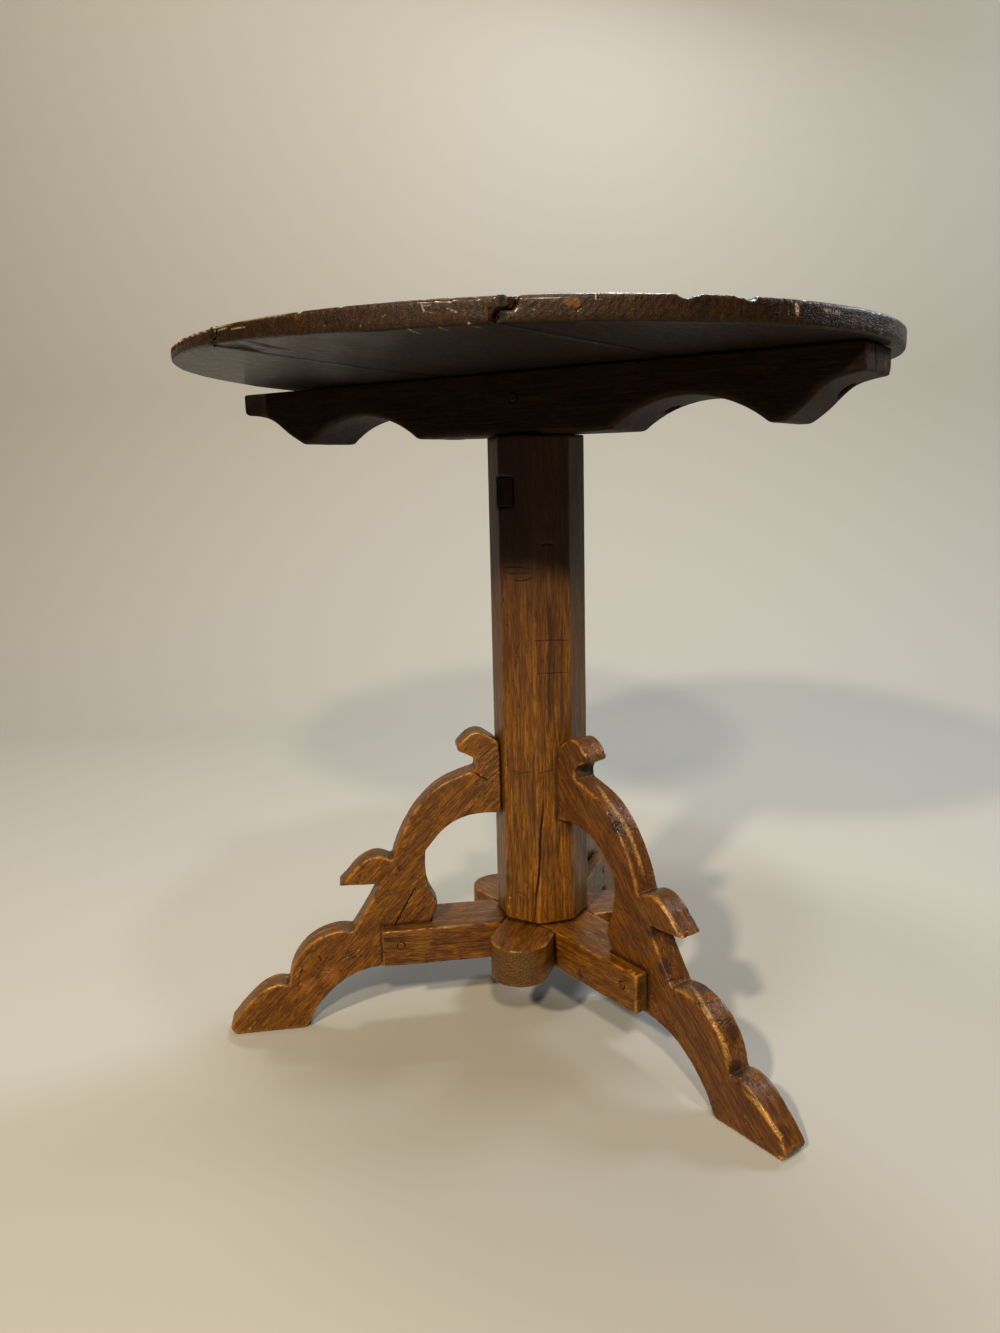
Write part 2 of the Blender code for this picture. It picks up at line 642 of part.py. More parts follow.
def board_blank_mesh(name, left, right):
    """The long section of one board. Its upper half laps right, over the lower half of the next."""
    low = BEARER_TOP - OVERRUN
    high = TABLE_TOP + OVERRUN
    middle = (BEARER_TOP + TABLE_TOP) / 2
    lap = LAP_WIDTH / 2
    half_gap = FIT_GAP / 2
    edge = TOP_RADIUS + OVERRUN

    def sides_at(shift_x, gap):
        start = -edge if left is None else left + shift_x + gap
        end = edge if right is None else right + shift_x - gap
        return start, end

    upper_left, upper_right = sides_at(lap, half_gap)
    lower_left, lower_right = sides_at(-lap, half_gap)
    points = [(lower_left, low), (lower_right, low)]
    if right is not None:
        points += [(lower_right, middle + half_gap), (upper_right, middle + half_gap)]
    points += [(upper_right, high), (upper_left, high)]
    if left is not None:
        points += [(upper_left, middle - half_gap), (lower_left, middle - half_gap)]
    stand = turn(BEARER_BEARING) @ Matrix.Rotation(math.radians(90), 4, "X")
    return plate_mesh(name, corners(points), 2 * edge, stand)


def build_top(holes):
    boards = {
        "left": (None, -LEFT_JOINT_REACH, ("left_inner", "left_outer")),
        "middle": (-LEFT_JOINT_REACH, RIGHT_JOINT_REACH, ("middle_left", "middle_right")),
        "right": (RIGHT_JOINT_REACH, None, ("right_inner", "right_outer")),
    }
    thinning = cutter(thinning_mesh("underside_thinning"), "underside_thinning")
    for side, (left, right, screws) in boards.items():
        name = "top_board_" + side
        board = place(disc_mesh(name), name, PARTS, wood(name + "_wood", (0.10, 0.055, 0.03), 0.5))
        blank = "blank_" + side
        combine(board, cutter(board_blank_mesh(blank, left, right), blank), "INTERSECT")
        if side != "right":
            cut(board, thinning)
        for screw in screws:
            cut(board, holes[screw])


clear_scene()
PARTS = new_collection("pedestal_table")
CUTTERS = new_collection("cutters")
build_bars()
build_column()
build_legs()
build_top(build_bearer())
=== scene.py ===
# Some marks are painted highlights and painted shade, laid into the wood's colour.
# Looks for an old pedestal table. Every timber that shows is a fine copy of its solid, worn,
# chipped, cracked and stained by listed marks, with its own procedural wood.
# Metres and degrees, +Z up, the floor at zero height, bearings from +X towards +Y.

import itertools
import math

import bmesh
import bpy
import numpy as np
from mathutils import Matrix, Vector
from mathutils.bvhtree import BVHTree


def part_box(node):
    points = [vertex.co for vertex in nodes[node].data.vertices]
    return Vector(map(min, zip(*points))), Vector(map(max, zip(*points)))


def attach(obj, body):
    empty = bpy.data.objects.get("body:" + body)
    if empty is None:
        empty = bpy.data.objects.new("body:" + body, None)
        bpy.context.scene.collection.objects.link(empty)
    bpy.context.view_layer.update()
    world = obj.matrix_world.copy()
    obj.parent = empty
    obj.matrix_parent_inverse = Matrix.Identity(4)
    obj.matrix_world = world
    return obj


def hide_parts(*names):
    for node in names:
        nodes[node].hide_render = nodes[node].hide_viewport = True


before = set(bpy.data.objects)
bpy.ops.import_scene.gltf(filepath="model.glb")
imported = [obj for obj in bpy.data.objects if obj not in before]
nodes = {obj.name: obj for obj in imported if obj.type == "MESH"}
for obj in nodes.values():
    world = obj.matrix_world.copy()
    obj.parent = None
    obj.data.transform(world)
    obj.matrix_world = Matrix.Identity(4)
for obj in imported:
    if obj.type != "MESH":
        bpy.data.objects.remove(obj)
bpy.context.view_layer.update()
print("frame loaded:", len(nodes), "nodes")

# Camera, and the photograph's own rays, by which marks find their places

view = {
    "place": (-0.0103, -1.1042, 0.6224),
    "yaw": -1.732,
    "pitch": -11.075,
    "roll": -1.361,
    "focalPixels": 1001.2,  # all in the photograph's pixels
    "middlePixels": (500.0, 666.5),
    "longSidePixels": 1333,
    "sensor": 36.0,
    "nearest": 0.05,
}


def makeCamera():
    yaw, pitch, roll = (math.radians(view[name]) for name in ("yaw", "pitch", "roll"))
    flat = math.cos(pitch)
    ahead = Vector((math.sin(yaw) * flat, math.cos(yaw) * flat, math.sin(pitch)))
    level = Vector((math.cos(yaw), -math.sin(yaw), 0))
    upright = level.cross(ahead)
    right = level * math.cos(roll) + upright * math.sin(roll)
    up = upright * math.cos(roll) - level * math.sin(roll)
    data = bpy.data.cameras.new("camera")
    data.sensor_width = view["sensor"]
    data.lens = view["focalPixels"] / view["longSidePixels"] * view["sensor"]
    data.clip_start = view["nearest"]
    camera = bpy.data.objects.new("camera", data)
    bpy.context.scene.collection.objects.link(camera)
    turned = Matrix((right, up, -ahead)).transposed().to_4x4()
    camera.matrix_world = Matrix.Translation(view["place"]) @ turned
    bpy.context.scene.camera = camera
    return np.array(right), np.array(up), np.array(ahead)


cameraRight, cameraUp, cameraAhead = makeCamera()
eye = np.array(view["place"])
print("camera set")


def rayThrough(pixel):
    across, down = (np.array(pixel) - view["middlePixels"]) / view["focalPixels"]
    return cameraAhead + cameraRight * across - cameraUp * down


def solidTree(node):
    bm = bmesh.new()
    bm.from_mesh(nodes[node].data)
    tree = BVHTree.FromBMesh(bm)
    bm.free()
    return tree


def onSolid(pixels, node):  # where rays through the photograph's pixels first meet one solid
    tree = solidTree(node)
    middle = (np.array(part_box(node)[0]) + np.array(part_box(node)[1])) / 2
    points = []
    for pixel in pixels:
        ray = rayThrough(pixel)
        hit = tree.ray_cast(view["place"], ray)[0]
        if hit is None:
            hit = tree.find_nearest(eye + ray * ((middle - eye) @ cameraAhead))[0]
        points.append(hit)
    return np.array(points)


# Numbers and noise that all timbers share

weldGap = 0.00001
bearings = {"left": 190.0, "right": 308.0, "back": 72.0, "bearer": -33.0}
footSides = ("left", "right", "back")
boardSides = ("left", "middle", "right")
cellSteps = (73856093, 19349663, 83492791, 49979687)
cellMixers = (0x2C1B3C6D, 0x297A2D39)
cellMask = 0x7FFFFFFF
wearing = {
    "outerRounds": 4,  # how wide a surrounding tells an arris
    "evenWear": 0.55, "patchyWear": 0.45, "wearGain": 2.5,
    "chipEdge": 3.0, "chipGain": 2.2,
    "arrisGain": 3.2, "hollowGain": 2.4,
}
marking = {  # how far marks reach past their width, how sharp their edges are and how ragged
    "waverSize": 0.006, "touchReach": 0.005,
    "grooveReach": 1.2, "grooveDark": 1.1, "grooveTip": 0.12,
    "blotchReach": 1.5, "blotchEdge": 1.15, "blotchRagged": 0.25, "blotchGrain": 0.6, "blotchGain": 2.0,
    "streakReach": 1.5, "streakEdge": 1.1, "streakRagged": 0.3, "streakGrain": (0.02, 0.002, 0.002),
    "streakGain": 1.6, "streakEnds": 5.0,
}
maskNames = ("mark", "stain", "seam", "fleck", "fresh", "dull")


def along(bearing, lift=0.0):  # the unit direction of a bearing, lifted by an angle
    turn, rise = math.radians(bearing), math.radians(lift)
    return np.array((math.cos(turn) * math.cos(rise), math.sin(turn) * math.cos(rise), math.sin(rise)))


def eased(share):  # a soft step from 0 to 1
    share = np.clip(share, 0.0, 1.0)
    return share * share * (3 - 2 * share)


def softNoise(points, size, seed):  # smooth noise from -1 to 1 in blobs about that size
    grid = points / size
    base = np.floor(grid).astype(np.int64)
    part = eased(grid - base)
    total = np.zeros(len(points))
    for corner in itertools.product((0, 1), repeat=3):
        cell = base + corner
        mixed = cell[:, 0] * cellSteps[0] ^ cell[:, 1] * cellSteps[1] ^ cell[:, 2] * cellSteps[2]
        mixed = (mixed ^ seed * cellSteps[3]) & cellMask
        mixed = (mixed ^ mixed >> 15) * cellMixers[0] & cellMask
        mixed = (mixed ^ mixed >> 12) * cellMixers[1] & cellMask
        value = (mixed ^ mixed >> 15) / (cellMask // 2) - 1
        weight = np.ones(len(points))
        for axis in range(3):
            weight = weight * (part[:, axis] if corner[axis] else 1 - part[:, axis])
        total += weight * value
    return total


def roughNoise(points, size, seed, layers=3):
    total = np.zeros(len(points))
    for layer in range(layers):
        total += softNoise(points, np.asarray(size) / 2 ** layer, seed + layer) / 2 ** layer
    return total / (2 - 2 ** (1 - layers))


def nearestOnPath(points, path):  # distance to a line of points, and the share of the way along it
    path = np.asarray(path, float)
    lengths = np.linalg.norm(np.diff(path, axis=0), axis=1)
    done = np.concatenate(([0.0], np.cumsum(lengths)))
    best = np.full(len(points), 1e9)
    share = np.zeros(len(points))
    for start, end, length, before in zip(path, path[1:], lengths, done):
        step = (end - start) / length
        part = np.clip((points - start) @ step, 0, length)
        away = np.linalg.norm(points - start - part[:, None] * step, axis=1)
        closer = away < best
        best[closer] = away[closer]
        share[closer] = (before + part[closer]) / done[-1]
    return best, share


def closeTo(points, path, reach):  # the points near a path, their distances and shares of the way
    path = np.asarray(path, float)
    boxed = (points > path.min(axis=0) - reach) & (points < path.max(axis=0) + reach)
    inside = np.flatnonzero(np.all(boxed, axis=1))
    return inside, *nearestOnPath(points[inside], path)


def wavering(path, swing, seed, steps=6):  # a line of points made to wander a little
    path = np.asarray(path, float)
    spans = zip(path, path[1:])
    finer = [start + (end - start) * step / steps for start, end in spans for step in range(steps)]
    finer = np.array(finer + [path[-1]])
    offsets = [softNoise(finer, marking["waverSize"], seed + axis) for axis in range(3)]
    return finer + swing * np.stack(offsets, axis=1)


def readVectors(items, field):
    values = np.empty(len(items) * 3, np.float32)
    items.foreach_get(field, values)
    return values.reshape(-1, 3).astype(float)


class Timber:  # one piece of wood: its fine mesh, its points as numbers, and its masks

    def __init__(self, node, name, cell, grain, slot):
        self.node, self.cell, self.slot = node, cell, slot
        grain = np.asarray(grain, float)
        side = np.cross(grain, (0, 0, 1)) if abs(grain[2]) < 0.9 else np.array((1.0, 0, 0))
        side = side / np.linalg.norm(side)
        self.axes = np.array((grain, side, np.cross(grain, side)))
        self.low, self.high = (np.array(corner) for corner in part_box(node))
        self.piece = self.fineCopy(name)
        self.masks = {}
        self.read()
        for mask in (*maskNames, "calm"):
            self.masks[mask] = np.zeros(len(self.points))
        self.points = self.relaxed(self.points, 2)
        self.write()

    def find(self, pixels):  # the places on this piece that the photograph shows there
        return onSolid(pixels, self.node)

    def fineCopy(self, name):
        bm = bmesh.new()
        bm.from_mesh(nodes[self.node].data)
        bmesh.ops.remove_doubles(bm, verts=bm.verts, dist=weldGap)
        mesh = bpy.data.meshes.new(name)
        bm.to_mesh(mesh)
        bm.free()
        piece = bpy.data.objects.new(name, mesh)
        bpy.context.scene.collection.objects.link(piece)
        even = piece.modifiers.new("even", "REMESH")
        even.mode = "VOXEL"
        even.voxel_size = self.cell
        fine = bpy.data.meshes.new_from_object(piece.evaluated_get(bpy.context.evaluated_depsgraph_get()))
        piece.modifiers.clear()
        piece.data = fine
        fine.name = name
        bpy.data.meshes.remove(mesh)
        return piece

    def read(self):
        mesh = self.piece.data
        self.points = readVectors(mesh.vertices, "co")
        self.normals = readVectors(mesh.vertex_normals, "vector")
        pairs = np.empty(len(mesh.edges) * 2, np.int32)
        mesh.edges.foreach_get("vertices", pairs)
        self.pairs = pairs.reshape(-1, 2)
        self.count = np.maximum(np.bincount(pairs, minlength=len(self.points)), 1)

    def write(self):
        mesh = self.piece.data
        self.points = np.clip(self.points, self.low, self.high)
        mesh.vertices.foreach_set("co", self.points.astype(np.float32).ravel())
        mesh.update()
        self.normals = readVectors(mesh.vertex_normals, "vector")

    def relaxed(self, values, rounds, pull=0.5):  # each value drawn towards the mean of its neighbours
        first, second = self.pairs.T
        size = len(self.points)
        values = np.asarray(values, float)
        flat = values.ndim == 1
        values = values.reshape(size, -1)
        for _ in range(rounds):
            columns = []
            for column in values.T:
                total = np.bincount(first, column[second], size) + np.bincount(second, column[first], size)
                columns.append(column + pull * (total / self.count - column))
            values = np.stack(columns, axis=1)
        return values[:, 0] if flat else values

    def storeMasks(self, masks):
        for name, values in masks.items():
            layer = self.piece.data.attributes.new(name, "FLOAT", "POINT")
            layer.data.foreach_set("value", values.astype(np.float32))

    def refine(self, chosen, rounds=1):  # smaller faces where chosen(points) holds
        for _ in range(rounds):
            self.write()
            mesh = self.piece.data
            self.storeMasks(self.masks)
            near = chosen(self.points)
            picked = np.flatnonzero(near[self.pairs[:, 0]] & near[self.pairs[:, 1]])
            bm = bmesh.new()
            bm.from_mesh(mesh)
            bm.edges.ensure_lookup_table()
            bmesh.ops.subdivide_edges(bm, edges=[bm.edges[index] for index in picked], cuts=1,
                                      use_grid_fill=True)
            bmesh.ops.triangulate(bm, faces=[face for face in bm.faces if len(face.verts) > 4])
            bm.to_mesh(mesh)
            bm.free()
            self.read()
            for name in list(self.masks):
                values = np.empty(len(self.points), np.float32)
                mesh.attributes[name].data.foreach_get("value", values)
                self.masks[name] = values.astype(float)
                mesh.attributes.remove(mesh.attributes[name])

    def refineNear(self, paths, reach, rounds=1):
        def nearAny(points):
            near = np.zeros(len(points), bool)
            for path in paths:
                inside, away, _ = closeTo(points, path, reach)
                near[inside[away < reach]] = True
            return near

        self.refine(nearAny, rounds)

    def local(self):  # the points measured along the grain, and across it twice
        return self.points @ self.axes.T

    def deepen(self, mask, values, chosen=slice(None)):
        self.masks[mask][chosen] = np.maximum(self.masks[mask][chosen], values)

    def push(self, depth):  # inwards, along the normals
        self.points -= self.normals * np.asarray(depth)[:, None]

    def standOut(self, rounds):  # how far each point stands out of its surroundings, in cells
        return np.sum((self.points - self.relaxed(self.points, rounds)) * self.normals, axis=1) / self.cell

    def wearArrises(self, rounds, strength, size, seed):  # rounds the arrises, more here and less there
        patchy = wearing["evenWear"] + wearing["patchyWear"] * roughNoise(self.points, size, seed)
        outer = eased(self.standOut(wearing["outerRounds"]) * wearing["wearGain"])
        target = self.relaxed(self.points, rounds)
        share = strength * (patchy * (1 - self.masks["calm"])) * self.relaxed(outer, 2)
        self.points += (target - self.points) * share[:, None]
        self.write()

    def chip(self, size, depth, seed, rarity):  # small bites out of the arrises
        bites = eased((roughNoise(self.points, size, seed, 2) - rarity) * wearing["chipEdge"])
        outer = eased(self.standOut(wearing["outerRounds"]) * wearing["chipGain"])
        self.push(depth * bites * self.relaxed(outer * (1 - self.masks["calm"]), 1))
        self.write()

    def wear(self, values, seed):
        self.wearArrises(*values["worn"], seed)
        for number, (size, depth, rarity) in enumerate(values["chips"], 1):
            self.chip(size, depth, seed + number, rarity)

    def plane(self, size, depth, seed):  # the waves that hand planes and age leave
        self.push(depth * (0.5 + 0.5 * roughNoise(self.local(), np.asarray(size), seed)))
        self.write()

    def touches(self, path):
        low, high = self.low - marking["touchReach"], self.high + marking["touchReach"]
        return bool(np.any(np.all((np.asarray(path) > low) & (np.asarray(path) < high), axis=1)))

    def groove(self, path, width, depth, dark=1.0, tip=marking["grooveTip"]):
        inside, away, share = closeTo(self.points, path, width * marking["grooveReach"])
        taper = np.clip(np.minimum(share, 1 - share) / tip, 0.0, 1.0)
        self.points[inside] -= self.normals[inside] * (depth * eased(1 - away / width) * taper)[:, None]
        shade = eased(1 - away / (width * marking["grooveDark"]))
        self.deepen("mark", dark * shade * np.sqrt(taper), inside)

    def dent(self, center, radius, depth, dark=0.0):
        inside, away, _ = closeTo(self.points, [center, center + weldGap], radius)
        near = eased(1 - away / radius)
        self.points[inside] -= self.normals[inside] * (depth * near)[:, None]
        self.deepen("mark", dark * near, inside)

    def bite(self, center, radius):  # a scoop out of the wood, with its ball's center outside it
        inside, away, _ = closeTo(self.points, [center, center + weldGap], radius)
        inside = inside[(away < radius) & (away > radius * 0.05)]
        outward = self.points[inside] - center
        self.points[inside] = center + outward / np.linalg.norm(outward, axis=1)[:, None] * radius

    def blotch(self, mask, center, size, strength, seed):  # a soft ragged spot in a mask
        inside, away, _ = closeTo(self.points, [center, center + weldGap], size * marking["blotchReach"])
        ragged = roughNoise(self.points[inside], size * marking["blotchGrain"], seed)
        near = marking["blotchEdge"] - away / size + marking["blotchRagged"] * ragged
        self.deepen(mask, strength * eased(near * marking["blotchGain"]), inside)

    def streak(self, mask, path, width, strength, seed):  # a ragged stripe in a mask
        inside, away, share = closeTo(self.points, path, width * marking["streakReach"])
        ragged = roughNoise(self.local()[inside], np.array(marking["streakGrain"]), seed)
        near = marking["streakEdge"] - away / width + marking["streakRagged"] * ragged
        ends = eased(np.minimum(share, 1 - share) * marking["streakEnds"])
        self.deepen(mask, strength * eased(near * marking["streakGain"]) * ends, inside)

    def carve(self, cuts, values, seed, rounds=1, others=()):  # every crack and scratch of a list
        paths = {}
        for name, cut in cuts.items():
            path = self.find(cut[0])
            if values["waver"]:
                path = wavering(path, values["waver"], seed)
            if self.touches(path):
                paths[name] = path
        if paths or others:
            self.refineNear([*paths.values(), *others], values["cutReach"], rounds)
        for name, path in paths.items():
            self.groove(path, *cuts[name][1:])

    def spotAll(self, spots, seed):
        for number, (mask, pixel, size, strength) in enumerate(spots):
            self.blotch(mask, self.find([pixel])[0], size, strength, seed + number)

    def streakAll(self, streaks, seed):
        for number, (mask, pixels, width, strength) in enumerate(streaks):
            self.streak(mask, self.find(pixels), width, strength, seed + number)

    def crisp(self, chosen):  # back onto the solid's own surface, so an arris there stays sharp
        tree = solidTree(self.node)
        for index in np.flatnonzero(chosen):
            self.points[index] = tree.find_nearest(self.points[index])[0]
        self.masks["calm"][chosen] = 1.0

    def crispRound(self, node, axis, radius):  # a sharp hole round a peg, and no wear there
        center = (np.array(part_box(node)[0]) + np.array(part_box(node)[1])) / 2

        def inReach(points):
            away = points - center
            away = away - (away @ axis)[:, None] * axis
            return np.linalg.norm(away, axis=1) < radius

        self.refine(inReach, 2)
        self.crisp(inReach(self.points))

    def markSeams(self, others, reach):  # darker where other pieces meet this one
        for other in others:
            tree = solidTree(other)
            low, high = (np.array(corner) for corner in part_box(other))
            near = np.all((self.points > low - reach) & (self.points < high + reach), axis=1)
            for index in np.flatnonzero(near):
                found = tree.find_nearest(self.points[index], reach)
                if found[0] is not None:
                    share = 1 - found[3] / reach
                    self.masks["seam"][index] = max(self.masks["seam"][index], share)

    def finish(self, look, bendRounds=5):
        self.write()
        bend = self.relaxed(self.standOut(bendRounds), 1)
        rough = 1 - self.masks.pop("calm")
        masks = {"arris": eased(bend * wearing["arrisGain"]) * rough,
                 "hollow": eased(-bend * wearing["hollowGain"]) * rough, **self.masks}
        self.storeMasks({name: np.clip(values, 0, 1) for name, values in masks.items()})
        mesh = self.piece.data
        mesh.shade_smooth()
        mesh.materials.clear()
        name = self.piece.name
        mesh.materials.append(woodMaterial(name + "Wood", look, self.axes, (self.low + self.high) / 2))
        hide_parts(self.node)
        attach(self.piece, "root")
        print(name, "done:", sum(len(face.vertices) - 2 for face in mesh.polygons), "triangles")


# Wood materials

class Shader:  # adds nodes to one material and links them; i0, i6 and so on are sockets by number

    def __init__(self, name):
        self.material = bpy.data.materials.new(name)
        self.material.use_nodes = True
        self.tree = self.material.node_tree
        self.surface = self.tree.nodes["Principled BSDF"]

    def put(self, socket, value):
        if isinstance(value, bpy.types.NodeSocket):
            self.tree.links.new(value, socket)
        else:
            socket.default_value = (*value, 1.0) if socket.type == "RGBA" else value

    def finish(self, **inputs):
        for name, value in inputs.items():
            self.put(self.surface.inputs[name], value)
        return self.material

    def add(self, kind, result=0, settings=None, **inputs):
        node = self.tree.nodes.new("ShaderNode" + kind)
        for name, value in (settings or {}).items():
            setattr(node, name, value)
        for name, value in inputs.items():
            key = int(name[1:]) if name[1:].isdigit() else name
            self.put(node.inputs[key], value)
        return node.outputs[result]

    def blend(self, share, first, second):
        return self.add("Mix", 2, {"data_type": "RGBA"}, i0=share, i6=first, i7=second)

    def math(self, kind, first, second=0.0, clamp=False):
        return self.add("Math", 0, {"operation": kind, "use_clamp": clamp}, i0=first, i1=second)

    def times(self, first, second):
        return self.math("MULTIPLY", first, second)

    def plus(self, first, second):
        return self.math("ADD", first, second)

    def most(self, first, second):
        return self.math("MAXIMUM", first, second)

    def less(self, first, second):
        return self.math("SUBTRACT", first, second)

    def vector(self, kind, first, second, result=0):
        return self.add("VectorMath", result, {"operation": kind}, i0=first, i1=second)

    def step(self, value, low, high, to=1.0):  # nothing below low, and `to` above high
        return self.add("MapRange", 0, {"interpolation_type": "SMOOTHSTEP"}, Value=value,
                        i1=low, i2=high, i3=0.0, i4=to)

    def noise(self, place, scale, detail, rough, warp=0.0):
        return self.add("TexNoise", 0, None, Vector=place, Scale=scale, Detail=detail, Roughness=rough,
                        Distortion=warp)

    def mask(self, name):
        return self.add("Attribute", 2, {"attribute_name": name})

    def bump(self, height, strength, distance):
        return self.add("Bump", 0, None, Strength=strength, Distance=distance, Height=height)


noiseDetails = {  # detail, roughness and distortion
    "dash": (2.0, 0.6), "fiber": (4.0, 0.7), "streak": (3.0, 0.55), "pore": (1.0, 0.5), "mottle": (4.0, 0.65),
    "patina": (5.0, 0.62, 0.4), "check": (3.0, 0.55), "speck": (2.0, 0.6), "rub": (4.0, 0.6),
    "end": (3.0, 0.7), "upright": (3.0, 0.6),
}
edges = {  # at which value each part starts to show, and at which it shows in full
    "lateStart": (0.3, 0.86), "lateEnd": (0.9, 1.0), "patina": (0.42, 0.6), "mottle": (0.46, 0.66),
    "streak": (0.54, 0.72), "fiber": (0.5, 0.7), "pore": (0.56, 0.66), "dash": (0.57, 0.66),
    "check": (0.012, 0.065), "checkPatch": (0.36, 0.58), "soil": (0.6, 0.7), "soilPatch": (0.3, 0.6),
    "endGrain": (0.5, 0.8), "end": (0.42, 0.6), "upright": (0.48, 0.66), "rub": (0.4, 0.6),
    "fresh": (0.3, 0.6), "fleck": (0.35, 0.55), "seam": (0.25, 0.95), "grime": (0.28, 0.5),
    "rough": (0.75, 1.25),
}


def woodMaterial(name, look, axes, middle):  # axes are the grain's direction and two across it
    shader = Shader(name)

    def cloud(kind, place):
        return shader.noise(place, look[kind + "Scale"], *noiseDetails[kind])

    def shown(kind, value, share=1.0):
        return shader.step(value, *edges[kind], share)

    turn = Matrix(axes.tolist()).to_euler()
    toPith = tuple(np.array(look["pith"]) - axes @ np.asarray(middle))
    spot = shader.add("TexCoord", 3)
    lying = shader.add("Mapping", 0, None, Vector=spot, Rotation=turn, Location=toPith)
    drawn, patchy, dashed, checked = (
        shader.vector("MULTIPLY", lying, look[kind]) for kind in ("draw", "patch", "dash", "check"))

    # Growth rings about a pith beside the timber, which the saw has cut through
    wander = shader.add("TexNoise", 1, None, Vector=drawn, Scale=look["wanderScale"], Detail=2.0)
    wander = shader.vector("SUBTRACT", wander, (0.5, 0.5, 0.5))
    wander = shader.vector("MULTIPLY", wander, (0.0, look["wander"], look["wander"]))
    radial = shader.vector("MULTIPLY", shader.vector("ADD", lying, wander), (0.0, 1.0, 1.0))
    radial = shader.add("VectorMath", 1, {"operation": "LENGTH"}, i0=radial)
    ring = shader.math("FRACT", shader.math("DIVIDE", radial, look["ring"]))
    late = shader.times(shown("lateStart", ring), shader.less(1.0, shown("lateEnd", ring)))

    fiber, streak, pores = (cloud(kind, drawn) for kind in ("fiber", "streak", "pore"))
    mottle, patina = (cloud(kind, patchy) for kind in ("mottle", "patina"))
    speck, rub = (cloud(kind, spot) for kind in ("speck", "rub"))
    checks = shader.math("ABSOLUTE", shader.less(cloud("check", checked), 0.5))
    checks = shader.less(1.0, shown("check", checks))

    # Every blend lays one more thing over the tone so far
    tone = shader.blend(shown("patina", patina), look["deep"], look["warm"])
    tone = shader.blend(shown("mottle", mottle, look["mottleShare"]), tone, look["light"])
    tone = shader.blend(shader.times(late, look["ringShare"]), tone, look["deep"])
    tone = shader.blend(shown("streak", streak, look["streakShare"]), tone, look["dark"])
    tone = shader.blend(shown("fiber", fiber, look["fiberShare"]), tone, look["light"])
    pits = shader.times(shown("pore", pores, look["poreShare"]), shader.less(1.0, late))
    pits = shader.most(pits, shown("dash", cloud("dash", dashed), look["dashShare"]))
    pits = shader.most(pits, shader.times(checks, shown("checkPatch", mottle, look["checkShare"])))
    tone = shader.blend(pits, tone, look["dark"])
    soil = shader.times(shown("soil", speck, look["soilShare"]), shown("soilPatch", patina))
    tone = shader.blend(soil, tone, look["dark"])

    facing = shader.vector("DOT_PRODUCT", shader.add("TexCoord", 1), tuple(axes[0]), 1)
    endGrain = shown("endGrain", shader.math("ABSOLUTE", facing))
    endTone = shader.blend(shown("end", cloud("end", spot)), look["endDark"], look["endLight"])
    endTone = shader.blend(shader.times(late, look["endRingShare"]), endTone, look["endDark"])
    tone = shader.blend(shader.times(endGrain, look["endShare"]), tone, endTone)
    if look["uprightShare"]:
        upright = cloud("upright", shader.vector("MULTIPLY", spot, look["upright"]))
        tone = shader.blend(shown("upright", upright, look["uprightShare"]), tone, look["light"])

    # Wear, stains, darkening in hollows and seams, painted highlights and painted shade, where the piece's
    # own masks put them
    arris, hollow, mark, stain, seam, fleck, fresh, dull = (
        shader.mask(kind) for kind in ("arris", "hollow", "mark", "stain", "seam", "fleck", "fresh", "dull"))
    # Paler arrises: partly real wear, partly painted highlight
    worn = shader.times(arris, shown("rub", rub, look["wornShare"]))
    tone = shader.blend(worn, tone, look["worn"])
    tone = shader.blend(shader.times(stain, look["stainAndShadeShare"]), tone, look["stain"])
    tone = shader.blend(shader.times(fresh, shown("fresh", fiber)), tone, look["fresh"])
    tone = shader.blend(shader.times(fleck, shown("fleck", speck)), tone, look["fleck"])
    # Darker in hollows and seams and along the cuts of marks; some marks are painted shade
    dirtAndShade = shader.times(shader.most(hollow, shown("seam", seam)), shown("grime", mottle, look["grimeShare"]))
    dirtAndShade = shader.most(dirtAndShade, mark)
    tone = shader.blend(dirtAndShade, tone, look["grime"])

    rough = shader.add("MapRange", 0, None, Value=shader.plus(mottle, fiber), i1=edges["rough"][0],
                       i2=edges["rough"][1], i3=look["roughLow"], i4=look["roughHigh"])
    rough = shader.less(rough, shader.times(worn, look["polish"]))
    rough = shader.plus(rough, shader.times(shader.most(dirtAndShade, soil), look["dirtRough"]))
    rough = shader.math("ADD", rough, shader.times(dull, look["dullRough"]), True)

    relief = shader.less(shader.times(fiber, look["fiberRelief"]), shader.times(pits, look["poreRelief"]))
    relief = shader.plus(relief, shader.times(late, look["ringRelief"]))
    relief = shader.plus(relief, shader.times(endGrain, shader.times(speck, look["endRelief"])))
    relief = shader.plus(relief, shader.times(rub, look["rubRelief"]))
    return shader.finish(**{
        "Base Color": tone, "Roughness": rough,
        "Normal": shader.bump(relief, look["reliefStrength"], look["reliefHeight"]),
        "Specular IOR Level": look["shine"], "Coat Weight": look["wax"], "Coat Roughness": look["waxRough"]})


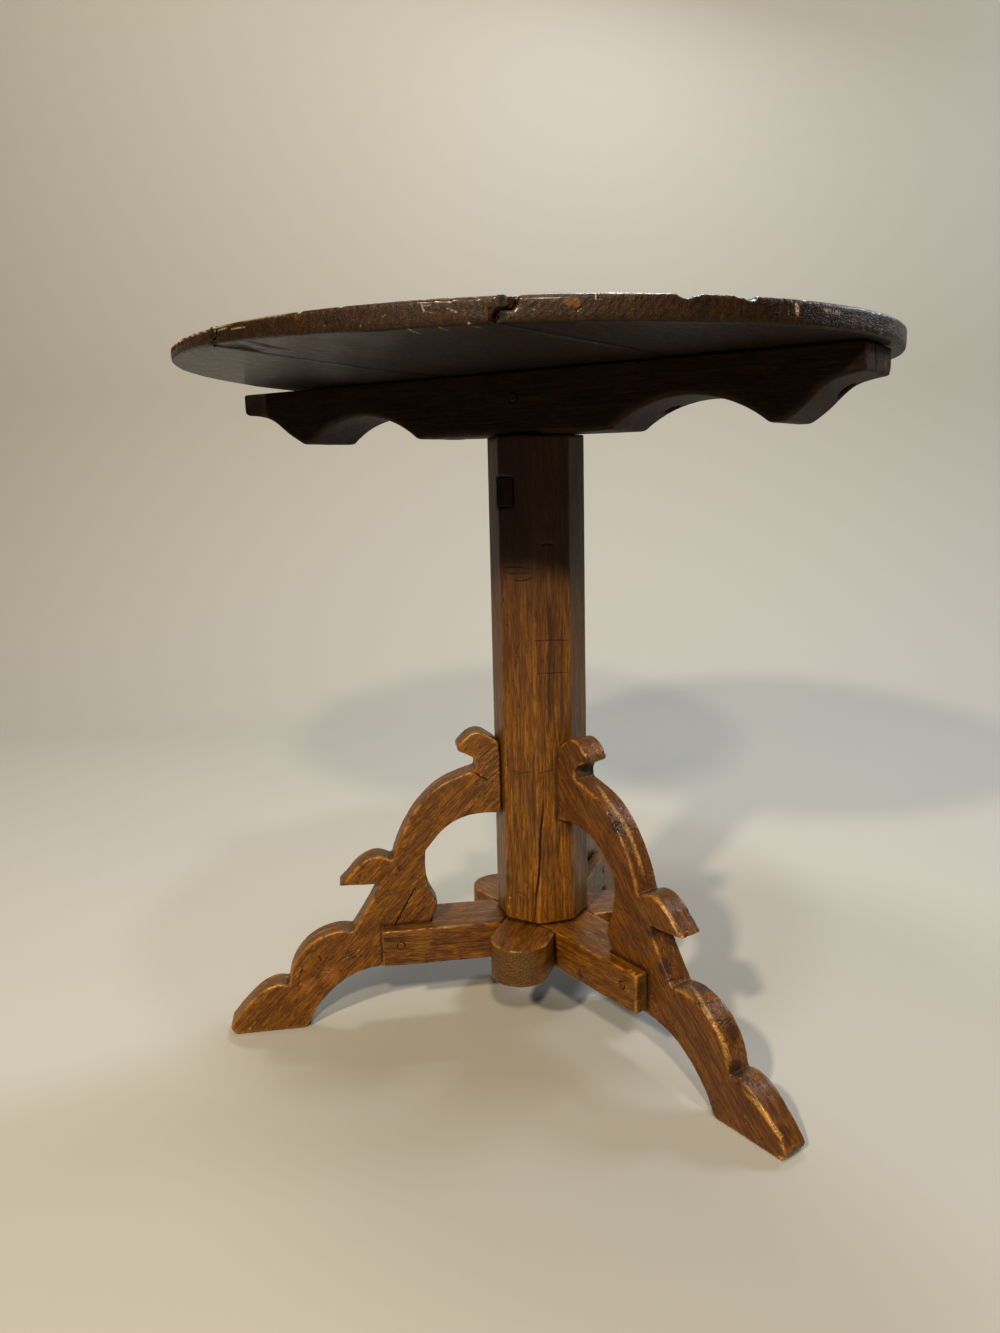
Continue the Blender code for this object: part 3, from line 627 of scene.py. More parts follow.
honeyWood = {
    "pith": (0.0, 0.035, 0.06),  # from the timber's middle, in metres
    "draw": (0.06, 1.0, 1.0),  # how much the grain is drawn out along the timber
    "dash": (0.16, 1.0, 1.0),
    "check": (0.045, 1.0, 1.0), "checkScale": 230.0, "checkShare": 0.6,
    "patch": (0.3, 1.0, 1.0),
    "ring": 0.0036, "wander": 0.012, "wanderScale": 24.0,
    "fiberScale": 800.0, "streakScale": 170.0, "poreScale": 1100.0, "dashScale": 620.0,
    "mottleScale": 360.0, "patinaScale": 105.0, "speckScale": 520.0, "rubScale": 70.0, "endScale": 620.0,
    "upright": (1.0, 1.0, 0.1), "uprightScale": 420.0,
    "deep": (0.112, 0.039, 0.0024), "warm": (0.205, 0.081, 0.0045),
    "light": (0.37, 0.165, 0.013), "dark": (0.022, 0.008, 0.0012),
    "endDark": (0.05, 0.025, 0.006), "endLight": (0.15, 0.08, 0.018),
    "worn": (0.43, 0.2, 0.03), "stain": (0.03, 0.01, 0.004),
    "fresh": (0.4, 0.16, 0.03), "fleck": (0.56, 0.3, 0.08),
    "grime": (0.01, 0.005, 0.003),
    "mottleShare": 0.32, "ringShare": 0.5, "streakShare": 0.45, "fiberShare": 0.3, "poreShare": 0.7,
    "dashShare": 0.62, "soilShare": 0.62, "endShare": 0.85, "wornShare": 0.7, "stainAndShadeShare": 0.9,
    "grimeShare": 0.75, "endRingShare": 0.5, "uprightShare": 0.0,
    "roughLow": 0.3, "roughHigh": 0.52, "polish": 0.3, "shine": 0.34, "dirtRough": 0.3, "dullRough": 0.35,
    "reliefHeight": 0.001, "reliefStrength": 1.0,
    "fiberRelief": 0.22, "poreRelief": 0.3, "ringRelief": 0.1, "endRelief": 0.2, "rubRelief": 0.4,
    "wax": 0.22, "waxRough": 0.2,
}  # a Share is how strongly a thing shows, a Scale its noise's, and a Relief its height in the bump


def changed(look, **values):
    return {**look, **values}


darkWood = changed(
    honeyWood, deep=(0.018, 0.006, 0.0022), warm=(0.036, 0.013, 0.0045),
    light=(0.062, 0.026, 0.009), dark=(0.006, 0.003, 0.0015), endDark=(0.02, 0.009, 0.003),
    endLight=(0.062, 0.03, 0.009), worn=(0.13, 0.055, 0.016), stain=(0.006, 0.003, 0.002),
    fresh=(0.19, 0.08, 0.02), fleck=(0.5, 0.4, 0.27), grime=(0.003, 0.0015, 0.001),
    wornShare=0.3, shine=0.2, wax=0.05)

rimWood = changed(
    darkWood, deep=(0.013, 0.005, 0.0012), warm=(0.03, 0.0125, 0.0025),
    light=(0.052, 0.024, 0.005), dark=(0.005, 0.0022, 0.0008), endDark=(0.013, 0.0055, 0.0012),
    endLight=(0.044, 0.02, 0.004), worn=(0.23, 0.11, 0.028), fresh=(0.13, 0.052, 0.01),
    endShare=0.5, uprightShare=0.35, wornShare=0.85, shine=0.24, wax=0.14, waxRough=0.16)


# Legs

legs = {
    "cell": 0.0013,
    "seeds": {"left": 10, "right": 30, "back": 50},
    "lift": -45.0,  # the grain falls from the curl to the toe
    "worn": (15, 1.0, 0.035),  # rounds, strength and size of the patches
    "chips": ((0.008, 0.001, 0.35), (0.02, 0.0012, 0.3)),  # size, depth and rarity
    "planed": ((0.07, 0.018, 0.018), 0.0007),
    "waver": 0.0006, "cutReach": 0.0028, "seamReach": 0.005, "bendRounds": 7,
    "looks": {
        "left": {"pith": (0.0, 0.03, 0.06)},
        "right": {"pith": (0.0, 0.045, 0.05), "deep": (0.09, 0.03, 0.003),
                  "warm": (0.16, 0.06, 0.005), "light": (0.29, 0.118, 0.012)},
        "back": {"pith": (0.0, -0.04, 0.055)},
    },
    # Cracks and cuts by the photograph's pixels, with width, depth and darkness
    "leftCuts": {
        "split": (((429, 872), (413, 891), (401, 914), (391, 932)), 0.0009, 0.002, 1.0, 0.05),
        "curlBreak": (((474, 772), (481, 777), (488, 780), (495, 774), (502, 769)), 0.001, 0.0013, 0.95),
        "curlSplit": (((494, 783), (486, 794), (481, 803)), 0.0007, 0.0008, 0.7),
        "toeLine": (((316, 968), (324, 972), (331, 971)), 0.0007, 0.0008, 0.8),
        "toeSplit": (((303, 965), (300, 975), (298, 988)), 0.0007, 0.0007, 0.7),
        "hipLine": (((343, 961), (352, 952), (362, 949)), 0.0007, 0.0006, 0.6),
        "hipLineLow": (((349, 960), (361, 957)), 0.0006, 0.0005, 0.5),
        "knot": (((398, 867), (401, 871)), 0.0016, 0.0006, 0.6),
        "nailScar": (((319, 956), (321, 961)), 0.0012, 0.0006, 0.9),
    },
    "rightCuts": {
        "shoulderCross": (((696, 1002), (706, 1003), (717, 1001)), 0.0008, 0.0006, 0.85),
        "shoulderSplit": (((711, 1020), (721, 1021), (731, 1020)), 0.0006, 0.0005, 0.8),
        "shoulderTear": (((724, 1026), (731, 1021), (737, 1017)), 0.0008, 0.0008, 0.9),
        "scratchOne": (((624, 797), (633, 814)), 0.0007, 0.0006, 0.6),
        "scratchTwo": (((627, 805), (639, 832)), 0.0007, 0.0006, 0.6),
        "scratchThree": (((634, 811), (642, 827)), 0.0006, 0.0005, 0.5),
        "ankleCrack": (((664, 985), (672, 980), (684, 978)), 0.0008, 0.0007, 0.8),
        "heelSplit": (((738, 1108), (750, 1130)), 0.0007, 0.0005, 0.5),
        "hipLine": (((652, 1000), (668, 1022), (679, 1040)), 0.0007, 0.0006, 0.5),
    },
    "raspPixels": (((497, 744), (482, 757)), ((499, 749), (482, 763)), ((500, 755), (484, 768)),
                   ((502, 761), (487, 772))),
    "raspCut": (0.0012, 0.001, 0.6),
    # Small hollows: pixel, radius, depth, darkness
    "leftDents": (((452, 825), 0.004, 0.0016, 0.2), ((440, 838), 0.003, 0.0012, 0.3),
                  ((428, 852), 0.0045, 0.002, 0.6), ((431, 887), 0.004, 0.0012, 0.3),
                  ((289, 980), 0.003, 0.0008, 0.2), ((344, 878), 0.003, 0.0008, 0.0)),
    "rightDents": (((596, 746), 0.0045, 0.0014, 0.0), ((585, 750), 0.005, 0.0012, 0.1),
                   ((606, 752), 0.004, 0.0012, 0.2), ((680, 938), 0.005, 0.0022, 0.1),
                   ((688, 936), 0.004, 0.0016, 0.0), ((690, 912), 0.004, 0.001, 0.0),
                   ((783, 1158), 0.005, 0.0012, 0.0), ((795, 1150), 0.0045, 0.0014, 0.1)),
    # Colored spots: mask, pixel, radius, strength
    "leftSpots": (("stain", (401, 868), 0.005, 0.5), ("stain", (352, 955), 0.006, 0.55),
                  ("stain", (318, 990), 0.007, 0.35), ("fleck", (288, 977), 0.003, 0.8),
                  ("fleck", (250, 1029), 0.0016, 0.5),
                  ("fresh", (330, 975), 0.012, 0.35), ("fresh", (310, 985), 0.01, 0.3),
                  ("stain", (379, 955), 0.006, 0.5)),
    "rightSpots": (("mark", (586, 768), 0.006, 0.9), ("mark", (593, 768), 0.006, 0.9),
                   ("mark", (602, 770), 0.005, 0.8), ("mark", (652, 932), 0.006, 0.7),
                   ("fresh", (681, 937), 0.005, 0.9), ("fresh", (598, 748), 0.006, 0.5),
                   ("fleck", (782, 1160), 0.0045, 0.5), ("fleck", (795, 1156), 0.0045, 0.6),
                   ("stain", (786, 1134), 0.008, 0.5), ("stain", (733, 1032), 0.009, 0.8),
                   ("stain", (735, 1068), 0.01, 0.8), ("stain", (700, 985), 0.01, 0.8),
                   ("stain", (742, 1078), 0.008, 0.8), ("stain", (632, 812), 0.008, 0.8),
                   ("stain", (665, 968), 0.009, 0.8)),
    # Painted highlights along the arrises, in the pale colour of rubbed wood: mask, pixels, width, strength
    "leftPaintedHighlights": (("fleck", ((417, 798), (434, 783), (455, 773)), 0.002, 0.45),
                 ("fleck", ((351, 866), (365, 853), (383, 848)), 0.0018, 0.4),
                 ("fleck", ((302, 946), (320, 932), (342, 926)), 0.0018, 0.4),
                 ("fleck", ((262, 985), (272, 977), (284, 974)), 0.0018, 0.4)),
    "rightPaintedHighlights": (("fleck", ((582, 750), (588, 760), (603, 764)), 0.0026, 0.55),
                  ("fleck", ((594, 780), (607, 800), (622, 820), (633, 842), (641, 866), (646, 884)),
                   0.003, 0.6),
                  ("fleck", ((648, 892), (660, 902), (672, 918), (679, 932)), 0.0026, 0.6),
                  ("fleck", ((690, 984), (704, 1006), (716, 1026), (726, 1047), (732, 1070)), 0.0028, 0.55),
                  ("fleck", ((738, 1086), (756, 1104), (770, 1121), (782, 1138), (794, 1155)), 0.0034, 0.65)),
    # Pits and pale scuffs strewn over every leg
    "pits": 420, "pitSizes": (0.0012, 0.0026), "pitDepths": (0.0003, 0.0008), "pitDark": 0.5,
    "scuffs": 40, "scuffSizes": (0.0006, 0.0014), "scuffShare": 0.3,
}


def makeLeg(side):
    seed = legs["seeds"][side]
    grain = along(bearings[side], legs["lift"])
    leg = Timber("leg_" + side, "leg" + side.title(), legs["cell"], grain, "leg_wood")
    leg.wear(legs, seed)
    leg.carve(legs.get(side + "Cuts", {}), legs, seed, 2)
    if side == "left":
        for pixels in legs["raspPixels"]:
            leg.groove(leg.find(pixels), *legs["raspCut"])
    leg.write()
    for pixel, radius, depth, dark in legs.get(side + "Dents", ()):
        leg.dent(leg.find([pixel])[0], radius, depth, dark)
    leg.write()
    leg.plane(*legs["planed"], seed + 4)
    random = np.random.default_rng(seed)
    for index in random.choice(len(leg.points), legs["pits"], replace=False):
        radius, depth = random.uniform(*legs["pitSizes"]), random.uniform(*legs["pitDepths"])
        leg.dent(leg.points[index], radius, depth, legs["pitDark"])
    for index in random.choice(len(leg.points), legs["scuffs"], replace=False):
        leg.blotch("fleck", leg.points[index], random.uniform(*legs["scuffSizes"]), legs["scuffShare"], seed)
    leg.spotAll(legs.get(side + "Spots", ()), seed)
    # painted highlights along the arrises
    leg.streakAll(legs.get(side + "PaintedHighlights", ()), seed)
    leg.markSeams(["column", "foot_bar_" + side], legs["seamReach"])
    leg.finish(changed(honeyWood, **legs["looks"][side]), legs["bendRounds"])


# Foot bars

bars = {
    "cell": 0.0014,
    "seeds": {"left": 20, "right": 40, "back": 60},
    "worn": (10, 0.9, 0.03),
    "chips": ((0.007, 0.0012, 0.25),),
    "planed": ((0.06, 0.014, 0.014), 0.0007),
    "waver": 0.0005, "cutReach": 0.0028, "seamReach": 0.005, "pegReach": 0.0075,
    "looks": {
        "left": {"pith": (0.0, 0.04, 0.05), "deep": (0.09, 0.026, 0.003), "streakShare": 0.6},
        "right": {"pith": (0.0, -0.03, 0.055)},
        "back": {"pith": (0.0, 0.02, 0.06)},
    },
    "leftCuts": {
        "scar": (((399, 948), (404, 945.5), (410, 943)), 0.0011, 0.0014, 0.95),
        "lowSplit": (((409, 955), (425, 958), (440, 957)), 0.0007, 0.0006, 0.7),
        "midSplit": (((445, 950), (462, 947), (476, 948)), 0.0006, 0.0005, 0.5),
        "topSplit": (((433, 922), (452, 918), (470, 917), (488, 914)), 0.0008, 0.0012, 0.9),
    },
    "rightCuts": {
        "blockEdge": (((579, 968), (580, 979)), 0.002, 0.0006, 0.5),
        "lowLine": (((566, 960), (600, 979), (630, 997)), 0.0006, 0.0005, 0.5),
        "highLine": (((585, 958), (610, 970), (632, 982)), 0.0006, 0.0004, 0.4),
        "topKnot": (((578, 930), (586, 934), (592, 932)), 0.0014, 0.0008, 0.6),
    },
    "leftSpots": (("fleck", (402, 943), 0.0016, 0.7), ("stain", (393, 945), 0.006, 0.45),
                  ("stain", (430, 957), 0.008, 0.5), ("stain", (465, 955), 0.008, 0.4)),
    "rightSpots": (("stain", (580, 975), 0.005, 0.7), ("stain", (622, 986), 0.0025, 0.9),
                   ("fleck", (634, 973), 0.003, 0.7), ("fleck", (630, 970), 0.0026, 0.6),
                   ("stain", (600, 935), 0.01, 0.5), ("stain", (640, 990), 0.008, 0.4)),
}


def makeBar(side):
    seed, grain = bars["seeds"][side], along(bearings[side])
    bar = Timber("foot_bar_" + side, "footBar" + side.title(), bars["cell"], grain, "foot_wood")
    bar.crispRound("arm_peg_" + side, along(bearings[side] + 90), bars["pegReach"])
    bar.wear(bars, seed)
    bar.carve(bars.get(side + "Cuts", {}), bars, seed)
    bar.write()
    bar.plane(*bars["planed"], seed + 2)
    bar.spotAll(bars.get(side + "Spots", ()), seed)
    others = ["foot_bar_" + other for other in footSides if other != side]
    bar.markSeams(["column", "leg_" + side] + others, bars["seamReach"])
    bar.finish(changed(honeyWood, **bars["looks"][side]))


# Column

post = {
    "seed": 70,
    "cell": 0.002,
    "worn": (5, 0.8, 0.03),
    "chips": ((0.006, 0.001, 0.35),),
    "planed": ((0.12, 0.018, 0.018), 0.0006),
    "waver": 0.0004, "cutReach": 0.003, "seamReach": 0.006,
    "look": {"pith": (0.0, 0.012, -0.075), "draw": (0.05, 1.0, 1.0), "dash": (0.12, 1.0, 1.0),
             "patch": (0.07, 1.0, 1.0), "patinaScale": 170.0, "streakShare": 0.6, "ring": 0.003,
             "mottleShare": 0.3, "deep": (0.11, 0.04, 0.0022), "warm": (0.225, 0.091, 0.005),
             "light": (0.4, 0.18, 0.014)},
    "cuts": {
        "bigCrack": (((543.7, 795), (543.2, 812), (541, 832), (540.4, 852), (539.5, 873), (536.5, 895),
                      (535.2, 910)), 0.0014, 0.0045, 1.0, 0.22),
        "crackTop": (((544.5, 768), (544, 785), (543.6, 800)), 0.0006, 0.0008, 0.8, 0.3),
        "crackFoot": (((535.4, 905), (534.6, 915), (534.5, 923)), 0.0008, 0.0014, 1.0, 0.1),
        "crackBranch": (((541, 836), (538.4, 850), (538.5, 862)), 0.0007, 0.001, 0.8),
        "ringLeft": (((505, 764), (511, 770), (520, 773), (531, 772)), 0.0008, 0.0006, 0.8),
        "ringRight": (((532, 772), (541, 773), (556, 770)), 0.0008, 0.0006, 0.75),
        "ringHigh": (((506, 770), (520, 775)), 0.0007, 0.0004, 0.6),
        "scribeHigh": (((534, 641), (552, 640.5), (570, 640)), 0.001, 0.0007, 1.0),
        "scribeLow": (((537, 674), (553, 673), (569, 673)), 0.0009, 0.0005, 0.8),
        "dentHigh": (((541, 545), (547, 543), (554, 544)), 0.0022, 0.0008, 0.5),
        "nickOne": (((501, 568), (516, 567), (531, 569)), 0.0013, 0.001, 0.8),
        "nickTwo": (((502, 573), (518, 574), (532, 572)), 0.0013, 0.0009, 0.7),
        "nickThree": (((510, 580), (522, 581), (533, 578)), 0.0013, 0.001, 0.8),
        "sideSplit": (((521, 777), (520.5, 795), (521, 810)), 0.0006, 0.0007, 0.7),
        "sideSplitLow": (((520, 812), (519.5, 828)), 0.0006, 0.0005, 0.6),
        "lowSplit": (((512, 786), (512.5, 792)), 0.0007, 0.0008, 0.9),
        "baseFacet": (((524, 880), (530, 888), (533, 903)), 0.0026, 0.0008, 0.15),
        "baseFacetLow": (((518, 893), (526, 897)), 0.0022, 0.0007, 0.2),
    },
    "wormPixels": (((506.6, 624), (505, 634)), ((518, 641), (516, 652), (517, 662), (514, 672), (512, 687)),
                   ((503.7, 664), (504.5, 668)), ((513.7, 680), (514.5, 693)), ((502, 578), (503, 604)),
                   ((518, 700), (517, 712))),
    "wormWaver": 0.0012, "wormCut": (0.0009, 0.0006, 0.8),
    "wormSize": 0.0013, "wormSizes": (0.5, 1.1), "wormDepth": 0.7, "wormSpread": 0.0008,
    # Stripes and spots of color: mask, pixels, width or radius, strength
    "streaks": (("stain", ((548, 575), (550, 640), (549, 700), (551, 745)), 0.003, 1.0),
                ("stain", ((553, 600), (554, 660), (552, 720)), 0.0022, 0.8),
                ("stain", ((561, 590), (562, 680), (560, 760)), 0.0024, 0.8),
                ("stain", ((565, 700), (566, 760), (562, 810)), 0.0026, 0.5),
                ("fresh", ((541.5, 868), (540, 890), (539, 912)), 0.0016, 0.6),
                ("fresh", ((541, 745), (540.5, 775)), 0.001, 0.5)),
    "spots": (("mark", (570, 817), 0.005, 0.9), ("stain", (566, 830), 0.01, 0.5),
              ("stain", (552, 850), 0.008, 0.35), ("stain", (508, 880), 0.007, 0.5),
              ("fleck", (509.5, 898), 0.0012, 0.9), ("fleck", (508.5, 906), 0.0014, 0.8),
              ("fleck", (517, 915), 0.0012, 0.6), ("stain", (525, 900), 0.008, 0.35)),
    # How dark the wood is at each height, with a ragged edge: partly a real darker patina, partly painted
    # shade where the top's shadow falls on the column. The facet towards the light gets less of it, as
    # painted light.
    "patinaShadeWaver": 0.03, "patinaShadeGrain": (0.008, 0.008, 0.07), "patinaShadeDull": 0.5,
    "paintedLitFacet": 0.16, "paintedLitGain": 4,
    "patinaShadeHeights": (0.0, 0.24, 0.34, 0.44, 0.485, 0.53, 1.0),
    "patinaShadeShares": (0.0, 0.05, 0.24, 0.5, 0.66, 1.0, 1.0),
}


def makeColumn():
    seed = post["seed"]
    column = Timber("column", "columnPost", post["cell"], (0, 0, 1), "column_wood")
    column.wear(post, seed)
    worms = [wavering(column.find(pixels), post["wormWaver"], seed + 5) for pixels in post["wormPixels"]]
    column.carve(post["cuts"], post, seed, 2, worms)
    random = np.random.default_rng(seed)
    for worm in worms:
        column.groove(worm, *post["wormCut"])
        for start, end in zip(worm, worm[1:]):
            size = post["wormSize"] * random.uniform(*post["wormSizes"])
            spread = random.normal(0, post["wormSpread"], 3)
            place = start + (end - start) * random.uniform(0, 1) + spread
            column.dent(place, size, size * post["wormDepth"], 1.0)
    column.streakAll(post["streaks"], seed)
    column.spotAll(post["spots"], seed)
    column.write()
    column.plane(*post["planed"], seed + 2)
    # Painted shade with patina: darker up the column, and a little lighter on the facet towards the light
    ragged = post["patinaShadeWaver"] * roughNoise(column.points, np.array(post["patinaShadeGrain"]), seed + 3)
    patinaShade = np.interp(column.points[:, 2] + ragged, post["patinaShadeHeights"], post["patinaShadeShares"])
    facing = column.normals @ along(bearings["right"])
    paintedLit = 1 - post["paintedLitFacet"] * eased(facing * post["paintedLitGain"] - post["paintedLitGain"] / 2)
    column.deepen("stain", paintedLit * patinaShade)
    column.deepen("dull", post["patinaShadeDull"] * column.masks["stain"])
    touching = [kind + side for kind in ("leg_", "foot_bar_") for side in footSides]
    column.markSeams(touching + ["column_patch", "bearer"], post["seamReach"])
    column.finish(changed(honeyWood, **post["look"]))


# Bearer

crossBearer = {
    "seed": 80,
    "cell": 0.002,
    "worn": (7, 0.9, 0.05),
    "chips": ((0.01, 0.0012, 0.35),),
    "planed": ((0.1, 0.02, 0.02), 0.0007),
    "waver": 0.0, "cutReach": 0.0034, "seamReach": 0.004, "pegReach": 0.009,
    "dull": 0.7,
    "look": {"pith": (0.0, 0.05, 0.08)},
    "cuts": {
        "endCrack": (((876, 344), (876.5, 371)), 0.0012, 0.002, 1.0, 0.05),
        "endNick": (((878.5, 357), (878, 366)), 0.001, 0.001, 0.8),
        "lowScar": (((470, 425), (490, 424), (515, 421)), 0.001, 0.0006, 0.5),
    },
    # The two wide dark spots at the bearer's left end are painted shade
    "spots": (("fresh", (886, 364), 0.004, 1.0), ("fresh", (887, 359), 0.0026, 0.8),
              ("mark", (244, 398), 0.026, 0.85), ("mark", (252, 404), 0.024, 0.8),
              ("stain", (869, 356), 0.008, 0.4)),
}


def makeBearer():
    seed, axis = crossBearer["seed"], along(bearings["bearer"])
    bearer = Timber("bearer", "crossBearer", crossBearer["cell"], axis, "bearer_wood")
    bearer.crispRound("bearer_peg", along(bearings["bearer"] + 90), crossBearer["pegReach"])
    bearer.wear(crossBearer, seed)
    bearer.carve(crossBearer["cuts"], crossBearer, seed, 2)
    bearer.write()
    bearer.plane(*crossBearer["planed"], seed + 2)
    bearer.spotAll(crossBearer["spots"], seed)
    bearer.masks["dull"][:] = crossBearer["dull"]
    boards = ["top_board_" + side for side in boardSides]
    bearer.markSeams(["column"] + boards, crossBearer["seamReach"])
    bearer.finish(changed(darkWood, **crossBearer["look"]))


# Top boards

top = {
    "seeds": {"left": 100, "middle": 110, "right": 120},
    "cell": 0.0027,
    "radius": 0.367,
    "low": 0.7233, "high": 0.744,
    "joints": {-0.086: ("left", "middle"), 0.178: ("middle", "right")},
    "rimReach": 0.01,
    "sharpBelow": 0.729, "sharpFade": 0.003,
    "worn": (9, 0.9, 0.03),
    "chips": ((0.006, 0.0014, 0.2),),
    "planed": ((0.2, 0.03, 0.03), 0.0006),
    "waver": 0.0004, "cutReach": 0.003, "seamReach": 0.003,
    "jointFine": 1.1, "jointSharp": 1.6,  # in cells
    "jointPaintedShade": 0.75, "jointWidth": 0.0024, "jointEdge": 1.4, "jointCalm": 0.006, "calmEdge": 3,
    "underFade": 0.002, "underPaintedShade": 0.3,
    "pithStep": 0.15, "pithSpan": 0.11, "pithDrop": 0.09, "ring": 0.0044,
    # Scoops out of the top arris: pixel, depth and radius; each is cut again further in
    "biteRounds": 3, "biteStep": 0.9,
    "bites": (((688, 292), 0.0048, 0.011), ((697, 293), 0.003, 0.008), ((752, 299), 0.0048, 0.01),
              ((742, 298), 0.003, 0.009), ((765, 298), 0.0018, 0.0035), ((781, 300), 0.0018, 0.0035),
              ((806, 305), 0.0022, 0.004), ((883, 317), 0.0022, 0.004), ((339, 305), 0.0022, 0.004),
              ((297, 309), 0.0028, 0.005), ((509, 296), 0.0024, 0.004), ((450, 297), 0.0014, 0.003),
              ((423, 299), 0.0014, 0.003), ((404, 300), 0.0012, 0.003), ((634, 292), 0.0012, 0.004),
              ((655, 292), 0.0014, 0.004), ((598, 293), 0.0012, 0.003)),
    "teethPixels": ((170, 342), (176, 335), (184, 329), (193, 324), (208, 318)),
    "teethReach": 0.009, "teethStep": 0.013, "teethShift": (0.3, 0.7),
    "teethSizes": (0.006, 0.0085), "teethDepths": (0.0028, 0.0042),
    # Light caught on the arris: pixels, width, strength
    "glintInset": 0.001, "glintDrop": 0.0008,
    "glints": ((((172, 340), (182, 331), (196, 323), (214, 316), (236, 312)), 0.0026, 0.6),
               (((236, 312), (262, 308), (292, 306)), 0.0016, 0.45),
               (((586, 293), (620, 292), (672, 292)), 0.0014, 0.5)),
    "cuts": {
        "lapCrack": (((511, 299), (510.5, 306), (505, 309), (497, 309), (491, 312)), 0.0013, 0.003, 1.0),
        "lapHollow": (((491, 307), (491, 313)), 0.002, 0.0022, 1.0),
        "lapCrackLow": (((492, 312), (490.5, 323)), 0.0007, 0.0012, 0.9),
        "leftCrack": (((209, 318), (210, 334)), 0.0008, 0.0012, 0.9),
        "knotLine": (((566, 306), (571, 310), (577, 311), (582, 306)), 0.0008, 0.0012, 0.95),
        "wormHole": (((325, 321), (325, 326)), 0.0024, 0.0014, 0.9),
        "redKnot": (((296, 311), (297, 317)), 0.0018, 0.0008, 0.6),
        "gougeWide": (((214, 339), (231, 346), (261, 353)), 0.011, 0.003, 0.95, 0.5),
        "gougeLong": (((243, 338), (268, 347), (298, 352)), 0.006, 0.0024, 0.9, 0.4),
        "gougeShort": (((230, 340), (252, 349), (276, 351)), 0.0045, 0.0018, 0.7, 0.4),
        "scratchUnder": (((500, 329), (540, 333), (575, 334)), 0.004, 0.0008, 0.5, 0.4),
    },
    # Pale torn fibers, partly painted glints: pixels, width, strength
    "tearGlintShare": 0.85, "tearGlintReach": 2, "tearGlintEdge": 1.3,
    "tearsAndGlints": ((((421, 303), (424, 312)), 0.0006, 0.8), (((424, 306), (430, 305)), 0.0005, 0.7),
              (((426, 312), (434, 313)), 0.0005, 0.6), (((447, 308), (456, 312)), 0.0006, 0.9),
              (((408, 329), (419, 334)), 0.0008, 1.0), (((438, 327), (448, 331)), 0.0007, 0.9),
              (((468, 323), (479, 328)), 0.0009, 1.0), (((297, 307), (293, 312)), 0.0008, 1.0),
              (((338, 304), (337, 307)), 0.0008, 1.0), (((596, 293), (596, 299)), 0.0007, 0.9),
              (((600, 294), (600, 299)), 0.0006, 0.7), (((214, 331), (226, 328)), 0.0008, 0.8),
              (((231, 329), (244, 327)), 0.0007, 0.7), (((197, 334), (204, 329)), 0.0008, 0.6),
              (((382, 317), (387, 314)), 0.0005, 0.6), (((359, 327), (361, 325)), 0.0006, 0.7),
              (((533, 309), (535, 310)), 0.0005, 0.9), (((538, 304), (539, 307)), 0.0004, 0.7),
              (((797, 305), (798, 312)), 0.0022, 1.0), (((826, 310), (840, 313)), 0.0018, 0.5),
              (((685, 313), (685.5, 316)), 0.0005, 0.8), (((789, 311), (789, 314)), 0.0005, 0.7),
              (((789.5, 320), (789.5, 323)), 0.0005, 0.8)),
    "spots": (("fresh", (569, 302), 0.0036, 0.9), ("fresh", (576, 302), 0.0036, 0.9),
              ("fresh", (855, 321), 0.006, 0.45), ("fresh", (870, 325), 0.005, 0.4),
              ("fresh", (862, 315), 0.005, 0.35), ("fresh", (890, 340), 0.006, 0.3),
              ("fresh", (297, 316), 0.004, 0.4), ("stain", (700, 305), 0.01, 0.4),
              ("stain", (760, 306), 0.01, 0.35), ("stain", (590, 340), 0.025, 0.4),
              ("stain", (540, 326), 0.012, 0.4)),
}


def onRim(pixels, inset=0.0):  # where the photograph's rays meet the near side of the rim
    radius = top["radius"] - inset
    points = []
    for pixel in pixels:
        ray = rayThrough(pixel)
        a, b, c = ray[:2] @ ray[:2], eye[:2] @ ray[:2], eye[:2] @ eye[:2] - radius ** 2
        point = eye + ray * (-b - math.sqrt(max(b * b - a * c, 0))) / a
        point[2] = min(max(point[2], top["low"]), top["high"])
        points.append(point)
    return np.array(points)


boardTrees = [solidTree("top_board_" + side) for side in boardSides]


def onTop(pixels):  # where they first meet any board, and the rim where they miss all three
    points = []
    for pixel in pixels:
        hits = [tree.ray_cast(view["place"], rayThrough(pixel))[0] for tree in boardTrees]
        away = {(hit - Vector(view["place"])).length: hit for hit in hits if hit}
        points.append(away[min(away)] if away else onRim([pixel])[0])
    return np.array(points)


